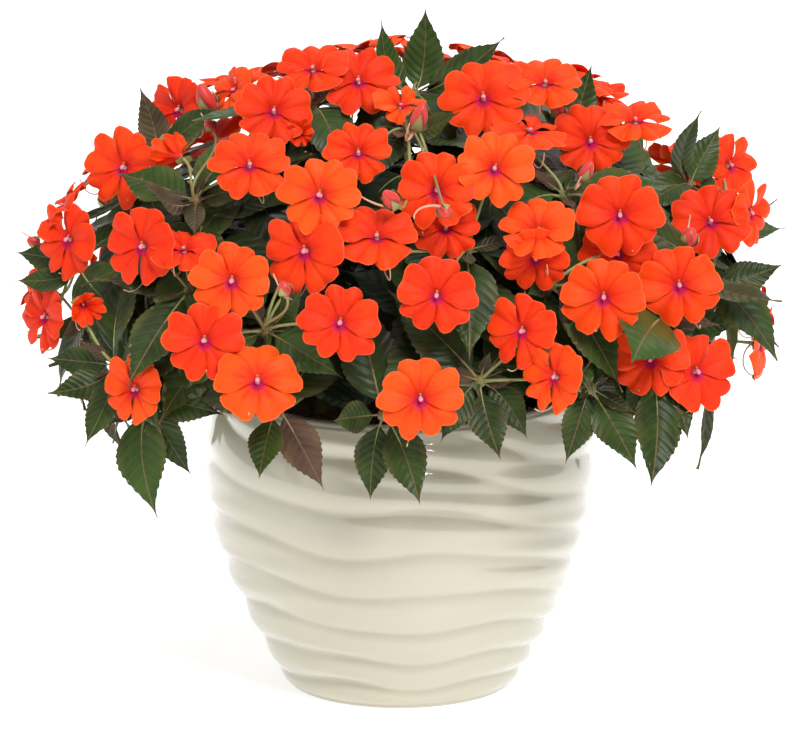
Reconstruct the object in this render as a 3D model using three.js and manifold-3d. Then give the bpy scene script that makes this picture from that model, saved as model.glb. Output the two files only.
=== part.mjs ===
// A New Guinea impatiens in a glazed pot: wavy ridged pot, potting soil, leafy stems, orange blooms.
// Millimetres, +Z up, the origin at the middle of the pot's foot.
// Seen from the front, the eye looks along +Y and X runs to the right.
import * as THREE from 'three';
import { mergeVertices } from 'three/addons/utils/BufferGeometryUtils.js';
import Module from 'manifold-3d';

const wasm = await Module();
wasm.setup();

// Pot
const POT_HEIGHT = 234;
const FOOT_RADIUS = 86;
const FOOT_BEVEL = 3;
const BELLY_RADIUS = 147;
const BELLY_HEIGHT = 176;
const WAIST_HEIGHT = 94;
const SHOULDER_DROP = 10;
const WALL = 12;
const FLOOR = 12;
const LIP_ROUND = 4;
const RIDGE_DEPTH = 5;
const RIDGE_MIDDLE = 0.6;
const RIDGE_COUNT = 8.2;
const RIDGE_MORE = 0.9;
const RIDGE_SPREAD = 0.8;
const RIDGE_LEAN = 0.72;
const RIDGE_FADE = 14;
// Waves of the bands: height as a share of a band, waves round the pot, turn, and change of turn with height
const RIDGE_WAVES = [[0.3, 2, 0.9, 0.006], [0.24, 3, -0.7, 0.014], [0.06, 5, 2, 0.02], [0.04, 7, 0, -0.03]];
const RIDGE_SWELL = [0.7, 0.3];
const POT_SIDES = 30;
const POT_ROWS = 22;

// Soil and the holes that the stems stand in
const SOIL_TOP = 206;
const SOIL_CROWN = 6;
const SOIL_GAP = 0.4;
const SOIL_SIDES = 18;
const HOLE_DEPTH = 26;
const HOLE_RADIUS = 8;
const FIT_GAP = 0.3;

// Crown of the plant: the rounded surface that the blooms lie on
const CROWN_ACROSS = 272;
const CROWN_DEEP = 255;
const CROWN_HIGH = 195;
const CROWN_MIDDLE = 285;
const VIEW_TILT = 15;
// A face that is as good as level has no up of its own, below this sine of its slope
const NEARLY_LEVEL = 0.05;

// Bloom: five two-lobed petals round a small throat
const BLOOM_RADIUS = 30.6;
const THROAT_RADIUS = 5;
const THROAT_HALF = 1.5;
const PETAL_STEP = 72;
const PETAL_THICK = 1.6;
const PETAL_CAMBER = 1.2;
const PETAL_CREST = 0.55;
const PETAL_LENGTHS = [0.98, 1.03, 1.0, 1.0, 1.03];
const PETAL_EDGES = [[-1.4, -1.4], [1.6, 1.6], [-1.4, -1.2], [1.2, -1.4], [1.6, 1.6]];
// Rim of a petal: angle from its middle in degrees, share of its length, share of its edge height
const PETAL_RIM = [[-35, 0.8, 1], [-18, 1, 0.4], [0, 0.86, 0], [18, 1, 0.4], [35, 0.8, 1]];

// Leaf: a folded, arched blade with forward teeth
const LEAF_LENGTH = 92;
const LEAF_WIDE = 0.2;
const LEAF_FOLD = 0.2;
const LEAF_THICK = 1.6;
const LEAF_ARCH = 0.12;
const LEAF_RUN = 0.35;
// Rim of a leaf: share of its length, share of its half width
const LEAF_RIM = [[0.16, 0.62], [0.37, 1], [0.41, 0.9], [0.64, 0.78], [0.68, 0.66]];
const INNER_LEAF_RIM = [[0.16, 0.62], [0.37, 1], [0.42, 0.9], [0.7, 0.64]];
// Two points of the midrib, and the rim point where the blade changes from one to the other
const MIDRIB = [0.34, 0.67];
const MIDRIB_CHANGE = 3;
const HUB_RADIUS = 5.6;
const HUB_HALF = 1.6;
const WHORL_LIFT = 0.35;
const LEAF_TURN_LEAST = 56;
const LEAF_TURN_FREE = 40;
const LEAF_TURN_FIRST = 17;
const SPREAD_PASSES = 12;

// Stems
const STEM_COUNT = 8;
const STEM_RADIUS = 6;
const STEM_SIDES = 4;
const STEM_STEPS = 4;
const STEM_RING = 58;
const STEM_LEAN = 6;
const FORK_RING = 68;
const FORK_RISE = 44;
const FORK_SINK = 5;
const STALK_SIDES = 3;
const STALK_STEPS = 2;
const BRANCH_RADIUS = 3.4;
const BRANCH_RISE = 0.12;
const BRANCH_EASE = 0.3;
const BRANCH_JOINT = 0.55;
const PEDICEL_RADIUS = 1.5;
const PEDICEL_ASIDE = 2;
const PEDICEL_OUT = 0.1;
const PEDICEL_NECK = 0.35;
const PEDICEL_TRIES = 6;
const PEDICEL_BENDS = [0.3, 0.55, 0.1, 0.8];

// Colours
const GLAZE = 0xdad4be;
const SOIL_BROWN = 0x3a2a1e;
const LEAF_GREEN = 0x3d5a2c;
const PETAL_ORANGE = 0xfb4a1a;

const RIGHT = new THREE.Vector3(1, 0, 0);
const UP = new THREE.Vector3(0, Math.sin(rad(VIEW_TILT)), Math.cos(rad(VIEW_TILT)));
const AWAY = new THREE.Vector3(0, Math.cos(rad(VIEW_TILT)), -Math.sin(rad(VIEW_TILT)));

// Blooms of the front, one list for each node; those in one list have grown into each other.
// A bloom: across and up as seen from the front, how far it stands proud of the crown,
// the turn and tilt of its face, the roll of its top petal, its size and the rise of its cup.
const FRONT_BLOOMS = [
  [[-166, 429, 0, -45, 8, -10, 0.95, 10]],
  [[-207, 385, 4, -25, 5, 5, 1, 6]],
  [[-248, 331, 6, -40, 0, 10, 0.98, 6], [-252, 356, -12, -80, 40, 0, 0.8, 4]],
  [[-191, 325, 8, -35, 0, 0, 1.03, 6], [-160, 322, 18, -10, 50, 0, 0.85, 4]],
  [[-266, 273, 0, -55, 0, 15, 0.9, 6]],
  [[-237, 283, 0, 20, -20, 0, 0.7, 50]],
  [[-112, 385, 6, 0, 28, 0, 1, 4]],
  [[-31, 394, 6, 0, 20, 0, 0.83, 4]],
  [[27, 366, 6, -5, 5, 0, 1, 6], [70, 382, 4, 8, 10, 15, 0.95, 6]],
  [[34, 338, -20, 0, 20, 0, 0.85, 4]],
  [[62, 436, 8, -6, 22, -5, 1.12, 2], [108, 447, 4, 0, 42, 0, 0.9, 4], [96, 410, 26, 25, 62, 0, 0.95, 2]],
  [[142, 404, -12, 12, 10, 0, 0.95, 6], [176, 419, -20, 10, 52, 0, 0.9, 4]],
  [[150, 440, -30, 0, 60, 0, 0.75, 4]],
  [[163, 348, 18, 0, 0, 0, 1.05, 6]],
  [[161, 320, -20, 0, -10, 0, 0.95, 4]],
  [[249, 388, 4, 42, 10, 0, 0.85, 6]],
  [[232, 344, 6, 5, 20, -15, 1, 6], [262, 351, -12, 60, 0, 0, 0.85, 4]],
  [[207, 296, 16, 5, 5, -5, 1.05, 2]],
  [[150, 287, 14, -8, 0, 5, 1.05, 4]],
  [[220, 232, 6, 28, 0, 0, 1.03, 6], [186, 241, 20, 0, 0, 0, 0.97, 4]],
  [[102, 335, 0, -5, 35, 10, 0.97, 12], [100, 316, -2, 0, -20, 0, 0.85, 10]],
  [[90, 262, 6, -28, 0, 10, 0.95, 4], [114, 228, 24, -42, 5, 0, 0.92, 4]],
  [[27, 288, 10, 0, 0, 5, 1, 4]],
  [[15, 212, 6, 0, 0, 0, 1.04, 4]],
  [[-105, 225, 10, 0, 20, 0, 1.1, -6]],
  [[-44, 268, 2, 0, 0, 8, 1, 4]],
  [[-70, 321, 6, -28, 0, -5, 1.08, 4], [-59, 362, 8, -10, 10, 0, 1, 4]],
  [[-17, 331, 6, 0, 38, 0, 1, 4]],
  [[-124, 299, 10, -12, 0, 5, 1, 4], [-144, 255, 8, -5, 0, 0, 1, 4]],
  [[-196, 219, 4, -38, 0, 0, 0.9, 6]],
  [[-94, 426, 8, 8, 20, 10, 0.95, 4], [-76, 410, 4, 10, 0, 0, 0.5, 45]],
  [[-31, 449, 6, 5, 30, 0, 1, 4], [-65, 458, 2, -10, 45, 0, 0.9, 4]],
  [[0, 430, -14, 30, 45, 0, 0.7, 4]],
  [[-124, 443, 4, -60, 30, 0, 0.75, 6]],
  [[-163, 391, -8, -140, 20, 0, 0.8, 48]],
];

// Rows of blooms round the back: height angle on the crown, first and last bearing, how many nodes
const BACK_ROWS = [[0, 6, 174, 6], [29, 26, 152, 5], [56, 34, 146, 3], [78, 90, 90, 1]];
const BACK_HEIGHT_SPREAD = 8;
const BACK_SLOPE_SPREAD = 70;
// How many blooms have grown together in each of those nodes, half the way from one to the next,
// and how far they turn away from each other
const BACK_GROUPS = [2, 3, 2, 2, 3, 2, 2, 3, 1, 2, 2, 2, 2, 1, 2];
const BACK_HALF_STEP = 25;
const BACK_SPLAY = 0.3;
const BACK_LIFT = 0.3;
const BACK_SWAY = 0.4;
const BACK_ROLL = 50;
const BACK_SIZES = [0.94, 1.06];
const BACK_CUP = 6;
const BACK_SEED = 417;

// Whorls of leaves of the front: across and up, depth under the crown, number of leaves,
// and the tips of the leaves that show: across, up and how far nearer the eye than the whorl.
const FRONT_WHORLS = [
  [10, 440, 44, 5, [[19, 507, 4], [-14, 495, 10], [78, 482, 14]]],
  [128, 408, 40, 4, [[144, 463, -15], [100, 432, 44]]],
  [218, 372, 34, 4, [[226, 428, 14], [242, 418, -30], [176, 350, 40]]],
  [236, 345, 50, 4, [[292, 365, 30], [290, 340, -10], [232, 394, -24]]],
  [226, 306, 22, 4, [[284, 284, 45], [281, 240, 30]]],
  [236, 296, 56, 3, [[289, 313, -20], [284, 250, 0]]],
  [188, 232, 30, 4, [[186, 146, 25], [214, 180, 14], [154, 160, 0]]],
  [141, 220, 34, 4, [[175, 160, 25], [122, 163, 5]]],
  [59, 225, 34, 5, [[74, 167, 30], [30, 180, 28], [94, 182, 14]]],
  [-12, 200, 34, 5, [[15, 133, 20], [-22, 136, -5], [-49, 196, 40]]],
  [-91, 205, 34, 4, [[-104, 153, 28], [-56, 144, 5]]],
  [-185, 210, 34, 4, [[-180, 123, 20], [-155, 155, -5], [-130, 200, 32]]],
  [-212, 236, 28, 5, [[-262, 216, 20], [-234, 176, 25], [-264, 242, -22]]],
  [-238, 310, 40, 4, [[-299, 299, -20], [-290, 322, -34]]],
  [-185, 395, 46, 4, [[-196, 446, -12], [-132, 432, 22]]],
  [-152, 359, 24, 5, [[-192, 376, 38], [-105, 368, 30], [-152, 320, 40]]],
  [-156, 293, 40, 4, [[-202, 220, 30]]],
  [-99, 262, 28, 5, [[-150, 250, 28], [-68, 298, 36], [-42, 227, 20]]],
  [-65, 430, 34, 4, []],
  [49, 321, 38, 4, [[0, 338, 24]]],
  [122, 362, 38, 4, []],
  [4, 410, 34, 4, [[-20, 372, 35], [45, 425, 30]]],
  [112, 296, 40, 4, [[80, 284, 42]]],
  [196, 272, 30, 4, [[176, 238, 40]]],
];

// Rows of whorls round the back: height angle on the crown, first and last bearing, how many
const BACK_WHORL_ROWS = [[-14, 14, 166, 5], [28, 30, 150, 4], [62, 55, 125, 2]];
const BACK_WHORL_DEPTH = 34;
const BACK_WHORL_LEAVES = 4;
const LEAF_DROOPS = [-8, -22, -38, 8];
const LEAF_SHARES = [1, 0.84];
const LEAF_SHORTER = [1, 0.84, 0.68, 0.54];
const LEAF_BEADS = [0.4, 0.7, 1];
const PETAL_BEAD = 0.62;
const CLEAR_ENOUGH = 26;
// Leaves of one whorl may share this much, in cubic millimetres, where they leave it
const SISTER_OVERLAP = 20;
const NO_VOLUME = 1e-6;

function rad(degrees) {
  return (degrees * Math.PI) / 180;
}

// The same run of numbers on every build
function seeded(seed) {
  let state = seed;
  return () => {
    state = (state * 16807) % 2147483647;
    return state / 2147483647;
  };
}

function along(origin, direction, distance) {
  return origin.clone().addScaledVector(direction, distance);
}

// The pot's wall without its ridges
function wallRadius(z) {
  if (z > BELLY_HEIGHT) {
    const rise = (z - BELLY_HEIGHT) / (POT_HEIGHT - BELLY_HEIGHT);
    return BELLY_RADIUS - SHOULDER_DROP * rise * rise;
  }
  return FOOT_RADIUS + (BELLY_RADIUS - FOOT_RADIUS) * Math.sin(((z / BELLY_HEIGHT) * Math.PI) / 2);
}

// Rounded bands that swoop up and down round the pot and run together; there are more of them
// on the right, and each one hangs over the next one below
function ridge(turn, z) {
  const bands = (RIDGE_COUNT + RIDGE_MORE * Math.cos(turn)) * Math.pow(z / POT_HEIGHT, RIDGE_SPREAD);
  const swoop = RIDGE_WAVES.reduce((sum, [high, waves, start, change]) => (
    sum + high * Math.sin(waves * turn + start + change * z)), 0);
  const phase = bands + swoop;
  const crest = Math.sin(Math.PI * Math.pow(phase - Math.floor(phase), RIDGE_LEAN));
  const swell = RIDGE_SWELL[0] + RIDGE_SWELL[1] * Math.sin(3 * turn + 1.3 + 0.03 * z);
  const fade = Math.min(1, z / RIDGE_FADE, (POT_HEIGHT - z) / RIDGE_FADE);
  return RIDGE_DEPTH * (crest - RIDGE_MIDDLE) * swell * fade;
}

function potGeometry() {
  const rings = [];
  const addRing = (z, radiusAt) => {
    const ring = [];
    for (let side = 0; side < POT_SIDES; side += 1) {
      const turn = (side / POT_SIDES) * 2 * Math.PI;
      ring.push([Math.cos(turn) * radiusAt(turn), Math.sin(turn) * radiusAt(turn), z]);
    }
    rings.push(ring);
  };
  addRing(0, () => FOOT_RADIUS - FOOT_BEVEL);
  addRing(FOOT_BEVEL, () => FOOT_RADIUS);
  for (let row = 1; row <= POT_ROWS; row += 1) {
    const z = FOOT_BEVEL + (row / POT_ROWS) * (POT_HEIGHT - LIP_ROUND - FOOT_BEVEL);
    addRing(z, (turn) => wallRadius(z) + ridge(turn, z));
  }
  addRing(POT_HEIGHT, () => wallRadius(POT_HEIGHT) - LIP_ROUND);
  addRing(POT_HEIGHT, () => wallRadius(POT_HEIGHT) - WALL + LIP_ROUND);
  addRing(POT_HEIGHT - LIP_ROUND, () => wallRadius(POT_HEIGHT) - WALL);
  for (const z of [BELLY_HEIGHT, WAIST_HEIGHT, FLOOR]) {
    addRing(z, () => wallRadius(z) - WALL);
  }
  const positions = rings.flat(2);
  const faces = [];
  const vertex = (ring, side) => ring * POT_SIDES + (side % POT_SIDES);
  for (let ring = 0; ring + 1 < rings.length; ring += 1) {
    for (let side = 0; side < POT_SIDES; side += 1) {
      faces.push(vertex(ring, side), vertex(ring, side + 1), vertex(ring + 1, side + 1));
      faces.push(vertex(ring, side), vertex(ring + 1, side + 1), vertex(ring + 1, side));
    }
  }
  const underside = positions.length / 3;
  positions.push(0, 0, 0, 0, 0, FLOOR);
  for (let side = 0; side < POT_SIDES; side += 1) {
    faces.push(underside, vertex(0, side + 1), vertex(0, side));
    faces.push(underside + 1, vertex(rings.length - 1, side), vertex(rings.length - 1, side + 1));
  }
  return meshGeometry(positions, faces);
}

function meshGeometry(positions, faces) {
  const geometry = new THREE.BufferGeometry();
  geometry.setAttribute('position', new THREE.Float32BufferAttribute(positions, 3));
  geometry.setIndex(faces);
  return geometry;
}

// Soil fills the pot up to a low mound
function soilGeometry() {
  const inside = (z) => wallRadius(z) - WALL - SOIL_GAP;
  const profile = [
    new THREE.Vector2(0, FLOOR + FIT_GAP),
    new THREE.Vector2(inside(FLOOR) - SOIL_GAP, FLOOR + FIT_GAP),
    new THREE.Vector2(inside(WAIST_HEIGHT) - SOIL_GAP, WAIST_HEIGHT),
    new THREE.Vector2(inside(BELLY_HEIGHT) - SOIL_GAP, BELLY_HEIGHT),
    new THREE.Vector2(wallRadius(POT_HEIGHT) - WALL - SOIL_GAP, SOIL_TOP),
    new THREE.Vector2(0, SOIL_TOP + SOIL_CROWN),
  ];
  const lathe = new THREE.LatheGeometry(profile, SOIL_SIDES);
  lathe.rotateX(Math.PI / 2);
  return lathe;
}

function solidFrom(geometry) {
  const bare = geometry.clone();
  bare.deleteAttribute('normal');
  bare.deleteAttribute('uv');
  const merged = mergeVertices(bare, 1e-3);
  const mesh = new wasm.Mesh({
    numProp: 3,
    vertProperties: new Float32Array(merged.attributes.position.array),
    triVerts: new Uint32Array(merged.index.array),
  });
  return new wasm.Manifold(mesh);
}

function geometryFrom(solid) {
  const mesh = solid.getMesh();
  const geometry = new THREE.BufferGeometry();
  geometry.setAttribute('position', new THREE.BufferAttribute(new Float32Array(mesh.vertProperties), 3));
  geometry.setIndex(new THREE.BufferAttribute(new Uint32Array(mesh.triVerts), 1));
  return geometry;
}

// A tube of a few sides along a curve
function tube(curve, radius, sides, steps) {
  const section = new THREE.Shape();
  for (let side = 0; side < sides; side += 1) {
    const turn = (side / sides) * 2 * Math.PI;
    const x = Math.cos(turn) * radius;
    const y = Math.sin(turn) * radius;
    if (side === 0) {
      section.moveTo(x, y);
    } else {
      section.lineTo(x, y);
    }
  }
  section.closePath();
  return solidFrom(new THREE.ExtrudeGeometry(section, { steps, extrudePath: curve, bevelEnabled: false }));
}

// Depth of the crown along the line of sight through a place seen from the front
function crownDepth(across, up) {
  const start = new THREE.Vector3().addScaledVector(RIGHT, across).addScaledVector(UP, up);
  const y0 = start.y / CROWN_DEEP;
  const z0 = (start.z - CROWN_MIDDLE) / CROWN_HIGH;
  const dy = AWAY.y / CROWN_DEEP;
  const dz = AWAY.z / CROWN_HIGH;
  const a = dy * dy + dz * dz;
  const b = y0 * dy + z0 * dz;
  const c = (start.x / CROWN_ACROSS) ** 2 + y0 * y0 + z0 * z0 - 1;
  const root = Math.max(0, b * b - a * c);
  return (-b - Math.sqrt(root)) / a;
}

function fromFront(across, up, depth) {
  return new THREE.Vector3(across, 0, 0).addScaledVector(UP, up).addScaledVector(AWAY, depth);
}

function crownPoint(height, bearing) {
  const level = Math.cos(rad(height));
  return new THREE.Vector3(
    CROWN_ACROSS * level * Math.cos(rad(bearing)),
    CROWN_DEEP * level * Math.sin(rad(bearing)),
    CROWN_MIDDLE + CROWN_HIGH * Math.sin(rad(height)),
  );
}

function crownNormal(point) {
  return new THREE.Vector3(
    point.x / CROWN_ACROSS ** 2,
    point.y / CROWN_DEEP ** 2,
    (point.z - CROWN_MIDDLE) / CROWN_HIGH ** 2,
  ).normalize();
}

// Where a bloom is, which way it faces and where its top petal points
function placedBloom(centre, face, roll, size, cup) {
  const level = new THREE.Vector3(0, 0, 1).cross(face);
  if (level.length() < NEARLY_LEVEL) {
    level.copy(RIGHT);
  }
  const side = level.normalize();
  const top = new THREE.Vector3().crossVectors(face, side).normalize();
  const up = top.clone().applyAxisAngle(face, rad(-roll));
  const right = new THREE.Vector3().crossVectors(up, face);
  return { centre, face, up, right, radius: BLOOM_RADIUS * size, cup };
}

// The first bloom of a node takes its depth from the crown, and the others take theirs from it
function frontBloom([across, up, proud, turn, tilt, roll, size, cup], first) {
  const depth = crownDepth(first[0], first[1]) - proud;
  const face = new THREE.Vector3()
    .addScaledVector(RIGHT, Math.sin(rad(turn)) * Math.cos(rad(tilt)))
    .addScaledVector(UP, Math.sin(rad(tilt)))
    .addScaledVector(AWAY, -Math.cos(rad(turn)) * Math.cos(rad(tilt)));
  return placedBloom(fromFront(across, up, depth), face, roll, size, cup);
}

function backBlooms() {
  const draw = seeded(BACK_SEED);
  const nodes = [];
  for (const [height, first, last, count] of BACK_ROWS) {
    for (let place = 0; place < count; place += 1) {
      const share = count > 1 ? place / (count - 1) : 0;
      const bearing = first + (last - first) * share;
      const middle = crownPoint(height + BACK_HEIGHT_SPREAD * (draw() - 0.5), bearing);
      const normal = crownNormal(middle);
      const level = new THREE.Vector3(0, 0, 1).cross(normal).normalize();
      const slope = rad(BACK_SLOPE_SPREAD * (draw() - 0.5));
      const aslant = level.multiplyScalar(Math.cos(slope)).add(
        new THREE.Vector3().crossVectors(normal, level).normalize().multiplyScalar(Math.sin(slope)));
      const face = normal.clone().addScaledVector(new THREE.Vector3(0, 0, 1), BACK_LIFT);
      face.x += BACK_SWAY * (draw() - 0.5);
      face.y += BACK_SWAY * (draw() - 0.5);
      face.z += BACK_SWAY * (draw() - 0.5);
      face.normalize();
      aslant.addScaledVector(face, -aslant.dot(face)).normalize();
      nodes.push(bloomGroup(middle, face, aslant, BACK_GROUPS[nodes.length], draw));
    }
  }
  return nodes;
}

// Blooms in a ring round a middle, each turned a little outwards
function bloomGroup(middle, face, aslant, count, draw) {
  const members = [];
  const ring = count > 1 ? BACK_HALF_STEP / Math.sin(Math.PI / count) : 0;
  for (let place = 0; place < count; place += 1) {
    const out = aslant.clone().applyAxisAngle(face, (2 * Math.PI * place) / count);
    const splay = count > 1 ? BACK_SPLAY : 0;
    const own = face.clone().addScaledVector(out, splay).normalize();
    const roll = BACK_ROLL * (draw() - 0.5);
    const size = BACK_SIZES[0] + (BACK_SIZES[1] - BACK_SIZES[0]) * draw();
    members.push(placedBloom(along(middle, out, ring), own, roll, size, BACK_CUP));
  }
  return members;
}

function petalPoint(bloom, angle, reach, height) {
  const spoke = bloom.up.clone().multiplyScalar(Math.cos(rad(angle)))
    .addScaledVector(bloom.right, Math.sin(rad(angle)));
  const rise = rad(bloom.cup);
  const level = along(bloom.centre, spoke, reach * Math.cos(rise));
  return along(level, bloom.face, reach * Math.sin(rise) + height);
}

// Five petals share the upright edges of a five-sided throat; each is a thin lens with a lobed rim
function bloomGeometry(bloom) {
  const points = [];
  const faces = [];
  const add = (point) => {
    points.push(point.x, point.y, point.z);
    return points.length / 3 - 1;
  };
  const corner = THROAT_RADIUS / Math.cos(rad(PETAL_STEP / 2));
  const throat = (petal, height) => {
    const angle = PETAL_STEP * (petal - 0.5);
    const spoke = bloom.up.clone().multiplyScalar(Math.cos(rad(angle)))
      .addScaledVector(bloom.right, Math.sin(rad(angle)));
    return along(along(bloom.centre, spoke, corner), bloom.face, height);
  };
  const upper = [];
  const lower = [];
  for (let petal = 0; petal < 5; petal += 1) {
    upper.push(add(throat(petal, THROAT_HALF)));
    lower.push(add(throat(petal, -THROAT_HALF)));
  }
  for (let petal = 0; petal < 5; petal += 1) {
    const length = bloom.radius * PETAL_LENGTHS[petal];
    const middle = PETAL_STEP * petal;
    const rim = PETAL_RIM.map(([angle, share, edge], place) => {
      const height = PETAL_EDGES[petal][place < 3 ? 0 : 1] * edge;
      return add(petalPoint(bloom, middle + angle, length * share, height));
    });
    const crest = add(petalPoint(bloom, middle, length * PETAL_CREST, PETAL_CAMBER + PETAL_THICK / 2));
    const back = add(petalPoint(bloom, middle, length * PETAL_CREST, PETAL_CAMBER - PETAL_THICK / 2));
    const next = (petal + 1) % 5;
    const above = [upper[petal], ...rim, upper[next]];
    const below = [lower[petal], ...rim, lower[next]];
    for (let place = 0; place + 1 < above.length; place += 1) {
      faces.push(crest, above[place + 1], above[place]);
      faces.push(back, below[place], below[place + 1]);
    }
    faces.push(crest, upper[petal], upper[next], back, lower[next], lower[petal]);
    faces.push(upper[petal], rim[0], lower[petal], rim[rim.length - 1], upper[next], lower[next]);
  }
  for (let place = 1; place < 4; place += 1) {
    faces.push(upper[0], upper[place + 1], upper[place]);
    faces.push(lower[0], lower[place], lower[place + 1]);
  }
  return meshGeometry(points, faces);
}

// A whorl: a place, an axis pointing out of the crown, and the tips of the leaves that are set
function placedWhorl(at, count, tips) {
  const axis = whorlAxis(at);
  const level = new THREE.Vector3(0, 0, 1).cross(axis).normalize();
  const up = new THREE.Vector3().crossVectors(axis, level).normalize();
  const whorl = { at, axis, up, right: new THREE.Vector3().crossVectors(up, axis) };
  whorl.leaves = aimedLeaves(whorl, count, tips);
  return whorl;
}

function whorlAxis(at) {
  return crownNormal(at).addScaledVector(new THREE.Vector3(0, 0, 1), WHORL_LIFT).normalize();
}

function allWhorls() {
  const whorls = [];
  for (const [across, up, inset, count, tips] of FRONT_WHORLS) {
    const depth = crownDepth(across, up) + inset;
    const set = tips.map((tip) => fromFront(tip[0], tip[1], depth - tip[2]));
    whorls.push(placedWhorl(fromFront(across, up, depth), count, set));
  }
  for (const [height, first, last, count] of BACK_WHORL_ROWS) {
    for (let place = 0; place < count; place += 1) {
      const surface = crownPoint(height, first + ((last - first) * place) / (count - 1));
      const at = along(surface, crownNormal(surface), -BACK_WHORL_DEPTH);
      whorls.push(placedWhorl(at, BACK_WHORL_LEAVES, []));
    }
  }
  return whorls;
}

// Each leaf faces its own tip round the axis, and leaves that aren't set fill the widest gaps
function aimedLeaves(whorl, count, tips) {
  const aimed = tips.map((tip) => {
    const reach = tip.clone().sub(whorl.at);
    const turn = (Math.atan2(reach.dot(whorl.right), reach.dot(whorl.up)) * 180) / Math.PI;
    return { tip, set: true, turn: (turn + 360) % 360 };
  });
  if (aimed.length === 0) {
    aimed.push({ tip: null, set: false, turn: LEAF_TURN_FIRST });
  }
  aimed.sort((one, other) => one.turn - other.turn);
  spreadTurns(aimed);
  const gaps = aimed.map((leaf, place) => ({ wide: turnGap(aimed, place), added: 0 }));
  for (let more = aimed.length; more < count; more += 1) {
    const widest = gaps.reduce((one, other) => (
      one.wide / (one.added + 1) >= other.wide / (other.added + 1) ? one : other));
    if (widest.wide / (widest.added + 2) >= LEAF_TURN_FREE) {
      widest.added += 1;
    }
  }
  const leaves = [];
  aimed.forEach((leaf, place) => {
    leaves.push(leaf);
    const { wide, added } = gaps[place];
    for (let free = 1; free <= added; free += 1) {
      leaves.push({ tip: null, set: false, turn: leaf.turn + (wide * free) / (added + 1) });
    }
  });
  return leaves;
}

// Turn from one leaf to the next one round the whorl
function turnGap(leaves, place) {
  const next = leaves[(place + 1) % leaves.length].turn;
  return place + 1 < leaves.length ? next - leaves[place].turn : next + 360 - leaves[place].turn;
}

function spreadTurns(leaves) {
  if (leaves.length < 2) {
    return;
  }
  for (let pass = 0; pass < SPREAD_PASSES; pass += 1) {
    for (let place = 0; place < leaves.length; place += 1) {
      const short = LEAF_TURN_LEAST - turnGap(leaves, place);
      if (short > 0) {
        leaves[place].turn -= short / 2;
        leaves[(place + 1) % leaves.length].turn += short / 2;
      }
    }
  }
}

function spoke(whorl, angle) {
  return whorl.up.clone().multiplyScalar(Math.cos(rad(angle)))
    .addScaledVector(whorl.right, Math.sin(rad(angle)));
}

// The hub's corners lie midway between its leaves
function hubCorner(whorl, side) {
  const before = (side + whorl.leaves.length - 1) % whorl.leaves.length;
  const turn = whorl.leaves[before].turn + turnGap(whorl.leaves, before) / 2;
  return along(whorl.at, spoke(whorl, turn), HUB_RADIUS);
}

function leafRoot(whorl, side) {
  const at = hubCorner(whorl, side).lerp(hubCorner(whorl, (side + 1) % whorl.leaves.length), 0.5);
  return { facing: spoke(whorl, whorl.leaves[side].turn), at };
}

function leafCurve(whorl, side, tip) {
  const root = leafRoot(whorl, side);
  const length = root.at.distanceTo(tip);
  const bend = along(along(root.at, root.facing, LEAF_RUN * length), whorl.axis, LEAF_ARCH * length);
  return new THREE.QuadraticBezierCurve3(root.at, bend, tip);
}

// Leaves that aren't set grow from the free sides to where they are furthest from what is near
function growLeaves(whorls, blooms) {
  const beads = [];
  for (const bloom of blooms) {
    beads.push({ owner: null, at: bloom.centre });
    for (let petal = 0; petal < 5; petal += 1) {
      const at = petalPoint(bloom, PETAL_STEP * petal, bloom.radius * PETAL_BEAD, 0);
      beads.push({ owner: null, at });
    }
  }
  const leafBeads = (whorl, side, tip) => {
    const curve = leafCurve(whorl, side, tip);
    return LEAF_BEADS.map((share) => ({ owner: whorl, at: curve.getPoint(share) }));
  };
  for (const whorl of whorls) {
    whorl.leaves.forEach((leaf, side) => {
      if (leaf.set) {
        beads.push(...leafBeads(whorl, side, leaf.tip));
      }
    });
  }
  for (const whorl of whorls) {
    whorl.leaves.forEach((leaf, side) => {
      if (!leaf.set) {
        leaf.tip = freeTip(whorl, side, beads, leafBeads);
        beads.push(...leafBeads(whorl, side, leaf.tip));
      }
    });
  }
}

function freeTip(whorl, side, beads, leafBeads) {
  let best = null;
  let bestClear = -1;
  for (const share of LEAF_SHARES) {
    for (const droop of LEAF_DROOPS) {
      const root = leafRoot(whorl, side);
      const reach = root.facing.clone().multiplyScalar(Math.cos(rad(droop)))
        .addScaledVector(whorl.axis, Math.sin(rad(droop)));
      const tip = along(root.at, reach, LEAF_LENGTH * share);
      let clear = CLEAR_ENOUGH;
      for (const bead of leafBeads(whorl, side, tip)) {
        for (const other of beads) {
          if (other.owner !== whorl) {
            clear = Math.min(clear, bead.at.distanceTo(other.at));
          }
        }
      }
      if (clear > bestClear) {
        best = tip;
        bestClear = clear;
      }
    }
  }
  return best;
}

// A hub with a leaf on each of its sides; a side with no leaf is bare
function whorlGeometry(whorl, tips) {
  const points = [];
  const faces = [];
  const add = (point) => {
    points.push(point.x, point.y, point.z);
    return points.length / 3 - 1;
  };
  const upper = [];
  const lower = [];
  const count = whorl.leaves.length;
  for (let side = 0; side < count; side += 1) {
    const corner = hubCorner(whorl, side);
    upper.push(add(along(corner, whorl.axis, HUB_HALF)));
    lower.push(add(along(corner, whorl.axis, -HUB_HALF)));
  }
  for (let side = 0; side < count; side += 1) {
    const next = (side + 1) % count;
    if (tips[side]) {
      leafFaces(whorl, side, tips[side], [upper[side], upper[next], lower[side], lower[next]], add, faces);
    } else {
      faces.push(upper[side], upper[next], lower[next], upper[side], lower[next], lower[side]);
    }
  }
  for (let side = 1; side + 1 < count; side += 1) {
    faces.push(upper[0], upper[side + 1], upper[side]);
    faces.push(lower[0], lower[side], lower[side + 1]);
  }
  return meshGeometry(points, faces);
}

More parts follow.
